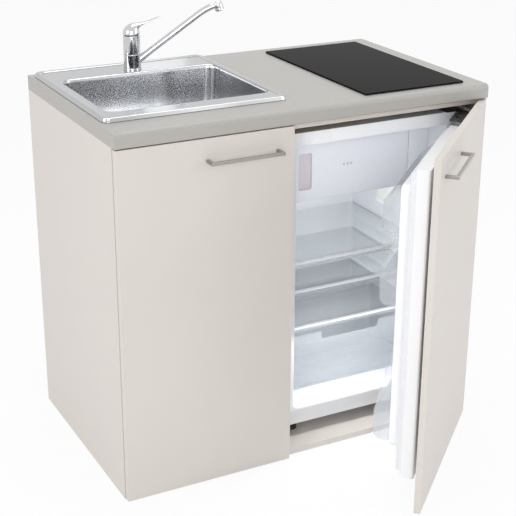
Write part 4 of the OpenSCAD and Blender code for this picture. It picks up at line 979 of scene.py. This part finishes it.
def linerPiece():
    front = nodeBox("fridge_casing")[0].y
    throat, back, r = fridge["throat"], fridge["rearR"], fridge["cavityR"]
    levels = [(-fridge["linerOut"], front - 0.0002)]
    levels += [(-throat * (1 - math.sin(t)), front - 0.0002 + throat * (1 - math.cos(t))) for t in quarter()]
    levels += [(back * (1 - math.cos(t)), cavity["rear"] - back * (1 - math.sin(t))) for t in quarter()]
    bm = bmesh.new()
    left, right, floor, top = (cavity[side] for side in ("left", "right", "floor", "top"))
    addLoft(bm, [[alongY(u, v, y) for u, v in roundRect(left + inset, floor + inset, right - inset, top - inset,
                                                        max(r - inset, 0.002))]
                 for inset, y in levels], caps=(False, True))
    hump, rise, rr = cavity["humpY"], cavity["humpZ"], cavity["humpR"]
    addPrism(bm, [(cavity["rear"] + 0.005, floor - 0.005), (cavity["rear"] + 0.005, rise)]
             + arcPoints(hump + rr, rise - rr, rr, 90, 90, 6) + [(hump, floor - 0.005)],
             left - 0.004, right + 0.004, place=alongX)
    heights = [z - 0.0002 - fridge["ribHeight"] for z in shelves["heights"]]
    heights += [z + shelves["glass"] + 0.0022 for z in shelves["heights"]] + [0.330, 0.430]
    deep = fridge["ribDepth"]
    for z in heights:
        for x0, x1 in ((left - 0.004, left + deep), (right - deep, right + 0.004)):
            addPrism(bm, roundRect(x0, z, x1, z + fridge["ribHeight"], 0.0018, 3),
                     fridge["ribFront"], fridge["ribRear"], 0.0018, alongY)
    newPiece("fridgeLiner", bm, "liner", "cabinet", "fridge_liner", smooth=38)


freezer = {
    "wall": 0.006, "postX": 0.372, "mouthFront": -0.138, "edge": 0.003,
    "gripLeft": 0.042, "gripRight": 0.081, "gripLow": 0.672, "gripHigh": 0.768, "gripDepth": 0.007,
    "barrelAt": (0.366, -0.145), "barrelR": 0.0058,
    "markX": 0.1745, "markStep": 0.011, "markZ": 0.7250, "markR": 0.0042,
}


def freezerPiece():
    lo, hi = nodeBox("freezer_box")
    post, wall = freezer["postX"], freezer["wall"]
    bm = bmesh.new()
    addBoard(bm, (lo.x, freezer["mouthFront"], lo.z), hi, freezer["edge"], segments=3)
    made = newPiece("freezerBox", bm, ["liner"], "cabinet", "freezer_box")
    carveBy(made, addPrism, roundRect(lo.x + wall, lo.z + 0.008, post - wall, hi.z - 0.008, 0.009),
            lo.y - 0.01, hi.y - 0.004, place=alongY)
    bm = bmesh.new()
    addPrism(bm, roundRect(post, lo.z, hi.x, hi.z, 0.003, 3), lo.y, freezer["mouthFront"] + 0.002, 0.0022, alongY)
    newPiece("freezerPost", bm, "liner", "cabinet")


def flapPiece():
    lo, hi = nodeBox("freezer_flap")
    barrel = freezer["barrelAt"]
    bm = bmesh.new()
    addPrism(bm, roundRect(lo.x, lo.z, barrel[0], hi.z, 0.005), lo.y, hi.y, 0.003, alongY, steps=4)
    made = newPiece("freezerFlap", bm, ["flap", "grip"], "freezer_flap", "freezer_flap")
    grip = roundRect(freezer["gripLeft"], freezer["gripLow"], freezer["gripRight"], freezer["gripHigh"], 0.006)
    # the recess is lined with the grip finish, whose darker colour is painted shade
    carveBy(made, addPrism, grip, lo.y - 0.01, lo.y + freezer["gripDepth"], 0.002, alongY, 1, steps=3)
    bm, r = bmesh.new(), freezer["barrelR"]
    addLathe(bm, [(r - 0.001, lo.z), (r, lo.z + 0.001), (r, hi.z - 0.001), (r - 0.001, hi.z)], (*barrel, 0), 32)
    newPiece("flapBarrel", bm, "flap", "freezer_flap")
    bm = bmesh.new()
    for k in range(3):   # three frost marks, raised a hair over the flap
        for turn in range(3):
            a = math.radians(60 * turn + 30)
            spot = Vector((freezer["markX"] + k * freezer["markStep"], lo.y - 0.00012, freezer["markZ"]))
            along = Vector((math.cos(a), 0, math.sin(a))) * freezer["markR"]
            addSweep(bm, [spot - along, spot + along], (0.00045, 0.0002), 6, side=(0, 1, 0))
    newPiece("frostMarks", bm, "mark", "freezer_flap", smooth=0)


def shelfPieces():
    s = shelves
    panes, trims, skirts = bmesh.new(), bmesh.new(), bmesh.new()
    for z, h in zip(s["heights"], s["trimHeights"]):
        addBoard(panes, (s["left"], s["front"] + 0.008, z), (s["right"], s["rear"], z + s["glass"]), 0.0006)
        high, front = z + s["glass"] + 0.002, s["front"]
        low, back, line = high - h, front + s["trimDepth"], high - s["bead"]
        bead = [(back, line), (back, high), *arcPoints(front + 0.0022, high - 0.0022, 0.0022, 90, 90, 4),
                (front, line)]
        addPrism(trims, bead, s["left"] - 0.002, s["right"] + 0.002, 0.0006, alongX)
        skirt = ([(back, low), (back, line - 0.0002), (front + 0.0006, line - 0.0002)]
                 + arcPoints(front + 0.0036, low + 0.003, 0.003, 180, 90, 4))
        addPrism(skirts, skirt, s["left"] - 0.002, s["right"] + 0.002, 0.0004, alongX)
    newPiece("shelfPanes", panes, "shelfGlass", "cabinet", "glass_shelves", smooth=0)
    newPiece("shelfTrims", trims, "trim", "cabinet", "shelf_trims")
    newPiece("shelfSkirts", skirts, "clear", "cabinet")


drawer = {"cornerR": 0.012, "wall": 0.003, "draft": 0.005, "rim": 0.006, "gripIn": 0.120, "gripDrop": 0.022,
          "lineHeights": (0.045, 0.052, 0.098)}


def drawerPiece():
    lo, hi = nodeBox("crisper_drawer")
    draft, wall, rim = drawer["draft"], drawer["wall"], drawer["rim"]
    levels = [(draft + 0.006, lo.z), (draft + 0.0025, lo.z + 0.0008), (draft + 0.0006, lo.z + 0.003),
              (draft, lo.z + 0.006), (0.0012, hi.z - rim - 0.001), (0.0003, hi.z - rim), (0.0, hi.z - rim + 0.001),
              (0.0, hi.z - 0.0012), (0.0012, hi.z), (wall, hi.z), (wall + 0.0008, hi.z - 0.001),
              (wall + 0.001, hi.z - rim), (wall + draft, lo.z + 0.010), (wall + draft + 0.002, lo.z + 0.005),
              (wall + draft + 0.006, lo.z + 0.0034)]
    bm = bmesh.new()
    addLoft(bm, [[Vector((x, y, z)) for x, y in boxRect((lo, hi), max(drawer["cornerR"] - inset, 0.003), inset)]
                 for inset, z in levels])
    made = newPiece("crisperDrawer", bm, ["clear"], "crisper", "crisper_drawer")
    carveBy(made, addPrism, roundRect(lo.x + drawer["gripIn"], hi.z - drawer["gripDrop"], hi.x - drawer["gripIn"],
                                      hi.z + 0.02, 0.009), lo.y - 0.01, lo.y + 0.012, place=alongY)
    bm = bmesh.new()
    for rise in drawer["lineHeights"]:
        inset = draft - (draft - 0.0012) * (rise - 0.006) / (hi.z - lo.z - rim - 0.007)
        addSweep(bm, [(lo.x + 0.030, lo.y + inset, lo.z + rise), (hi.x - 0.030, lo.y + inset, lo.z + rise)],
                 (0.0006, 0.0009), 8)
    newPiece("crisperLines", bm, "clear", "crisper")


thermostat = {"sink": 0.002, "edge": 0.004, "bossR": 0.017, "knobR": 0.014, "knobBodyR": 0.0105,
              "lensFront": -0.030, "lensRear": 0.032, "lensLow": 0.543, "lensHigh": 0.622, "slats": 9}


def towardLeft(u, v, w):
    return Vector((-w, u, v))


def thermostatPieces():
    lo, hi = nodeBox("thermostat_housing")
    knob = Vector((lo.x, *bodyJoint("thermostat_knob")["pos_m"][1:]))
    t = thermostat
    bm = bmesh.new()
    addPrism(bm, roundRect(lo.y, lo.z, hi.y, hi.z, 0.009), lo.x + t["sink"], hi.x, t["edge"], alongX, steps=4)
    addLathe(bm, [(t["bossR"], -t["sink"] - 0.001), (t["bossR"], -0.0006), (t["bossR"] - 0.0006, 0.0)],
             knob, 40, towardLeft)
    newPiece("thermostatCase", bm, "trim", "cabinet", "thermostat_housing")
    bm = bmesh.new()
    addPrism(bm, roundRect(t["lensFront"], t["lensLow"], t["lensRear"], t["lensHigh"], 0.006),
             lo.x + 0.0008, lo.x + 0.004, 0.001, alongX)
    for k in range(t["slats"]):
        y = t["lensFront"] + (k + 1) * (t["lensRear"] - t["lensFront"]) / (t["slats"] + 1)
        addPrism(bm, roundRect(y - 0.0012, t["lensLow"] + 0.006, y + 0.0012, t["lensHigh"] - 0.006, 0.0011, 3),
                 lo.x, lo.x + 0.002, 0.0008, alongX)
    newPiece("lampLens", bm, "lens", "cabinet")
    bm = bmesh.new()
    r, body = t["knobR"], t["knobBodyR"]
    addLathe(bm, [(r - 0.0005, 0.0003), (r, 0.0008), (r, 0.0022), (r - 0.0006, 0.0028), (body + 0.0006, 0.0030),
                  (body, 0.0040)], knob, 48, towardLeft, caps=(True, False))
    gear = [(u * (1 - 0.05 * (k % 2)), v * (1 - 0.05 * (k % 2)))
            for k, (u, v) in enumerate(circlePoints(0, 0, body, 36))]
    addPrism(bm, gear, 0.0030, 0.0098, 0.0008, lambda u, v, w: knob + towardLeft(u, v, w))
    newPiece("thermostatKnob", bm, "trim", "thermostat_knob", "thermostat_knob")
    bm = bmesh.new()
    addBoard(bm, knob + Vector((-0.0101, -0.0005, 0.002)), knob + Vector((-0.0095, 0.0005, 0.0098)), 0.0001)
    for k in range(8):
        a = math.radians(-120 + 240 * k / 7)
        out = Vector((0, math.sin(a), math.cos(a)))
        face = knob + Vector((-0.0029, 0, 0))
        addSweep(bm, [face + out * 0.0115, face + out * 0.0133], (0.0003, 0.0001 + 0.00003 * k), 4, side=(1, 0, 0))
    newPiece("knobTicks", bm, "dark", "thermostat_knob", smooth=0)


fridgeDoor = {
    "cornerR": 0.006, "edge": 0.0018,
    "damSide": 0.016, "damTop": 0.012, "damBottom": 0.007, "damR": 0.004, "draft": 0.0015, "base": 0.003,
    "damCorner": 0.018,
    "sealW": 0.015,
    "bins": ((0.132, 0.076, 0.236), (0.492, 0.072, 0.180), (0.676, 0.072, 0.108)),
    "binLeft": 0.0173, "binRight": 0.4097, "binFront": -0.163, "binGap": 0.0003, "binWall": 0.002,
    "binLean": 0.036, "binToe": 0.012,
}


def slabPiece():
    blockPiece("fridgeDoorSlab", "fridge_door_slab", "sheet", "fridge_door", fridgeDoor["cornerR"],
               fridgeDoor["edge"], fridgeTurn)


def doorLinerPiece():
    lo, hi = shutBox("fridge_door_liner", fridgeTurn)
    d = fridgeDoor
    r, draft = d["damR"], d["draft"]
    rings = []

    def ring(side, bottom, top, y, corner):
        rings.append([alongY(u, v, y) for u, v in roundRect(lo.x + side, lo.z + bottom, hi.x - side, hi.z - top,
                                                            max(corner, 0.001))])

    corner = d["damCorner"]
    ring(0, 0, 0, lo.y, corner)
    for t in quarter():
        inset = draft + r * (1 - math.cos(t))
        ring(inset, inset, inset, hi.y - r * (1 - math.sin(t)), corner - inset)
    for t in quarter():
        back = r * (1 - math.sin(t)) + draft
        ring(d["damSide"] - back, d["damBottom"] - back, d["damTop"] - back, hi.y - r * (1 - math.cos(t)),
             corner * 0.7)
    floor = lo.y + d["base"]
    fillet = 0.004
    for t in quarter(4):
        inset = fillet * (1 - math.cos(t))
        ring(d["damSide"] + inset, d["damBottom"] + inset, d["damTop"] + inset,
             floor + fillet * (1 - math.sin(t)), corner * 0.6)
    bm = bmesh.new()
    addLoft(bm, rings)
    for x in (lo.x + d["damSide"], hi.x - d["damSide"]):   # lugs that the bins hang on
        for bottom, front, side in d["bins"]:
            addLathe(bm, [(0.004, -0.0008), (0.004, 0.0)], (x, lo.y + 0.014, bottom + side * 0.55), 16,
                     lambda u, v, w: Vector((w, u, v)))
    newPiece("fridgeDoorLiner", bm, "doorLiner", "fridge_door", "fridge_door_liner", smooth=38,
             turn=fridgeTurn)


def gasketPiece():
    lo, hi = shutBox("door_gasket", fridgeTurn)
    outer = [(0.0, 0.0), (0.0, 0.36), (0.0020, 0.44), (0.0008, 0.56), (0.0022, 0.66), (0.0010, 0.80),
             (0.0018, 0.94), (0.0036, 1.0)]
    section = outer + [(fridgeDoor["sealW"] - inset, share) for inset, share in outer[::-1]]
    bm = bmesh.new()
    addLoft(bm, [[alongY(u, v, lo.y + share * (hi.y - lo.y)) for u, v in boxRect((lo, hi), 0.0022, inset, "xz", 3)]
                 for inset, share in section], ringLoop=True)
    newPiece("doorSeal", bm, "gasket", "fridge_door", "door_gasket", turn=fridgeTurn)


def roundedCorners(points, radii, steps=5):
    # a polygon with its corners rounded
    made = []
    for k, (here, r) in enumerate(zip(points, radii)):
        p = Vector(here)
        a, b = (Vector(points[k - 1]) - p).normalized(), (Vector(points[(k + 1) % len(points)]) - p).normalized()
        reach = r / math.tan(a.angle(b) / 2) if r else 0
        if not r:
            made.append(tuple(p))
            continue
        for n in range(steps + 1):
            t = n / steps
            q = (p + a * reach) * (1 - t) ** 2 + p * 2 * t * (1 - t) + (p + b * reach) * t * t
            made.append(tuple(q))
    return made


def binSide(back, front, low, frontTop, sideTop):
    # side panel of a bin: rounded toe, upright front and a shoulder that leans back to its full height
    toe, lean = fridgeDoor["binToe"], fridgeDoor["binLean"]
    points = [(back, low), (front - toe, low), (front, low + toe), (front, frontTop), (front - lean, sideTop),
              (back, sideTop)]
    return roundedCorners(points, (0.003, 0.010, 0.010, 0.016, 0.014, 0.003), 6)


def binPieces():
    d = fridgeDoor
    back = shutBox("fridge_door_liner", fridgeTurn)[0].y + d["base"] + d["binGap"]
    front, wall, x0, x1 = d["binFront"], d["binWall"], d["binLeft"], d["binRight"]
    for k, (low, frontH, sideH) in enumerate(d["bins"]):
        top, side = low + frontH, low + sideH
        bm = bmesh.new()
        addPrism(bm, binSide(back, front, low, top, side), x0, x1, 0.0035, alongX, steps=3)
        made = newPiece("doorBin%d" % (k + 1), bm, ["clear"], "fridge_door", None if k else "door_bins")
        hollow = roundedCorners([(back + wall, low + wall), (front - d["binToe"] - wall, low + wall),
                                 (front - wall, low + d["binToe"] + wall), (front - wall, top),
                                 (front + 0.02, top), (front + 0.02, side + 0.02), (back + wall, side + 0.02)],
                                (0.002, 0.009, 0.009, 0, 0, 0, 0))
        carveBy(made, addPrism, hollow, x0 + wall, x1 - wall, 0.0012, alongX)
        made.data.transform(fridgeTurn)
        rims = bmesh.new()
        addSweep(rims, [(x0 + 0.004, front - 0.0009, top), (x1 - 0.004, front - 0.0009, top)],
                 (0.0020, 0.0016), 10, (0, 0, 1))
        for x in (x0 + 0.0012, x1 - 0.0012):
            edge = [(y, z) for y, z in binSide(back, front, low, top, side) if z > top - 0.001]
            addSweep(rims, [(x, y, z) for y, z in edge], (0.0016, 0.0012), 8, side=(1, 0, 0))
        for rise in (0.35, 0.5, 0.65):   # faint lines moulded into the front
            z = low + d["binToe"] + rise * (frontH - d["binToe"])
            addSweep(rims, [(x0 + 0.02, front - 0.0002, z), (x1 - 0.02, front - 0.0002, z)], (0.0007, 0.0005), 6,
                     side=(0, 0, 1))
        newPiece("binRim%d" % (k + 1), rims, "clear", "fridge_door", turn=fridgeTurn)


for build in (casePiece, linerPiece, freezerPiece, flapPiece, shelfPieces, drawerPiece, thermostatPieces,
              slabPiece, doorLinerPiece, gasketPiece, binPieces):
    build()
print("fridge made")

plainNodes = {
    "hardboard": ("back_panel",), "board": ("top_rails",), "beech": ("panel_dowels",),
    "zinc": ("worktop_screws", "left_handle_screws", "right_handle_screws", "left_hinge_cups",
             "right_hinge_cups", "left_hinge_arms", "right_hinge_arms", "sink_clips", "hob_clamps"),
    "sinkSteel": ("waste_flange", "basket_strainer"), "foam": ("sink_seal",),
    "pipe": ("waste_body", "overflow_pipe", "drain_trap"), "brass": ("tap_fixings",),
    "dark": ("tap_aerator", "tap_turret", "door_guide_plate", "door_guide_pin", "fridge_feet"),
    "liner": ("tap_cartridge",), "hobTray": ("hob_casing",), "insulation": ("hob_heaters",),
    "ribbon": ("hob_coils",), "circuit": ("hob_board",),
    "black": ("fridge_hinges", "compressor", "condenser"),
}
for finish, names in plainNodes.items():
    for name in names:
        mesh = frame["nodes"][name].data
        mesh.materials.clear()
        mesh.materials.append(finishes[finish])
print("CAD finishes given")

studio = {
    "skyStrength": 0.58,
    "floorReach": 30,
    "floorThickness": 0.05,
    "floorDrop": 0.0002,  # just under the object's feet
    "floorWhite": 0.93,
    "floorGlow": 0.90,    # share of plain white in what is seen of the floor
}


def backgroundRays(made):
    # 1 where the camera, metal or glass looks at the background, 0 where it lights the object
    kinds = ("Is Camera Ray", "Is Glossy Ray", "Is Transmission Ray")
    camera, glossy, through = (made.node("ShaderNodeLightPath", output=kind) for kind in kinds)
    return (camera + glossy + through).held(0.0, 1.0)


def floorFinish():
    made = Finish("floorWhite", (studio["floorWhite"],) * 3, 0.9, {"Specular IOR Level": 0.1})
    # the camera, metal and glass see nearly plain white, with the object's shadow left in it
    seen = backgroundRays(made) * studio["floorGlow"]
    white = made.node("ShaderNodeEmission", None, {"Color": (1.0, 1.0, 1.0), "Strength": 1.0})
    plain = Wire(made, made.shader.outputs[0])
    both = made.node("ShaderNodeMixShader", None, {0: seen, 1: plain, 2: white})
    made.tree.links.new(both.socket, made.tree.nodes["Material Output"].inputs["Surface"])
    return made.material


def makeFloor():
    reach = studio["floorReach"]
    bm = bmesh.new()
    addBoard(bm, (-reach, -reach, -studio["floorThickness"]), (reach, reach, -studio["floorDrop"]), 0)
    floor = meshObject("floor", bm, [floorFinish()], 0)


def makeSky():
    world = bpy.data.worlds.new("studioSky")
    bpy.context.scene.world = world
    world.use_nodes = True
    sky = Finish.__new__(Finish)
    sky.tree = world.node_tree
    background = world.node_tree.nodes["Background"]
    seen = backgroundRays(sky)
    strength = (1 - seen) * studio["skyStrength"] + seen
    sky.feed(background.inputs["Color"], (1.0, 1.0, 1.0))
    sky.feed(background.inputs["Strength"], strength)


def softLamp(name, place, target, size, power, mirrored=True):
    data = bpy.data.lights.new(name, "AREA")
    data.shape = "RECTANGLE"
    data.size, data.size_y = size
    data.energy = power
    lamp = bpy.data.objects.new(name, data)
    lamp.location = place
    lamp.rotation_euler = (Vector(target) - Vector(place)).to_track_quat("-Z", "Y").to_euler()
    lamp.visible_camera = False
    lamp.visible_glossy = mirrored
    bpy.context.scene.collection.objects.link(lamp)


def insideLamp(low, high, front, glow):
    # a lamp of the fridge's width between two heights, as bright as a surface of that glow
    middle, wide, high = (low + high) / 2, 0.38, high - low
    return (0.21, front, middle), (0.21, 1, middle - 0.2), (wide, high), glow * math.pi * wide * high, False


# where from, where to, how large, how bright, whether metal mirrors it
lamps = {
    "keyLamp": ((-3.4, -0.4, 1.9), (0, 0, 0.45), (1.8, 1.8), 27.0),
    "frontLamp": ((-1.6, -3.1, 1.45), (0.15, 0, 0.45), (1.9, 1.7), 31.0),
    "rightLamp": ((2.6, -2.4, 1.4), (0.2, 0, 0.45), (1.6, 1.6), 23.0),
    "stripLamp": ((0.77, 2.4, 1.9), (-0.2, 0.1, 0.86), (0.22, 0.9), 0.35),
    "drawerLamp": insideLamp(0.120, 0.255, -0.118, 0.34),
    "lowLamp": insideLamp(0.296, 0.372, -0.118, 0.9),
    "middleLamp": insideLamp(0.400, 0.460, -0.118, 1.6),
    "upperLamp": insideLamp(0.482, 0.622, -0.118, 1.2),
    "freezerLamp": insideLamp(0.650, 0.800, -0.185, 0.17),
    "frameLamp": insideLamp(0.806, 0.846, -0.262, 0.40),
    "sillLamp": ((0.2, -0.263, 0.32), (0.2, -0.263, 0.0), (0.34, 0.02), 0.70, False),
    "fridgeLamp": ((0.2, 0.02, 0.630), (0.2, 0.03, 0.2), (0.30, 0.16), 0.12, False),
    "topLamp": ((0.2, 0.4, 3.4), (0, 0, 0.9), (2.0, 2.0), 33.0),
}
makeFloor()
makeSky()
for lampName, values in lamps.items():
    softLamp(lampName, *values)
print("stage and light made")
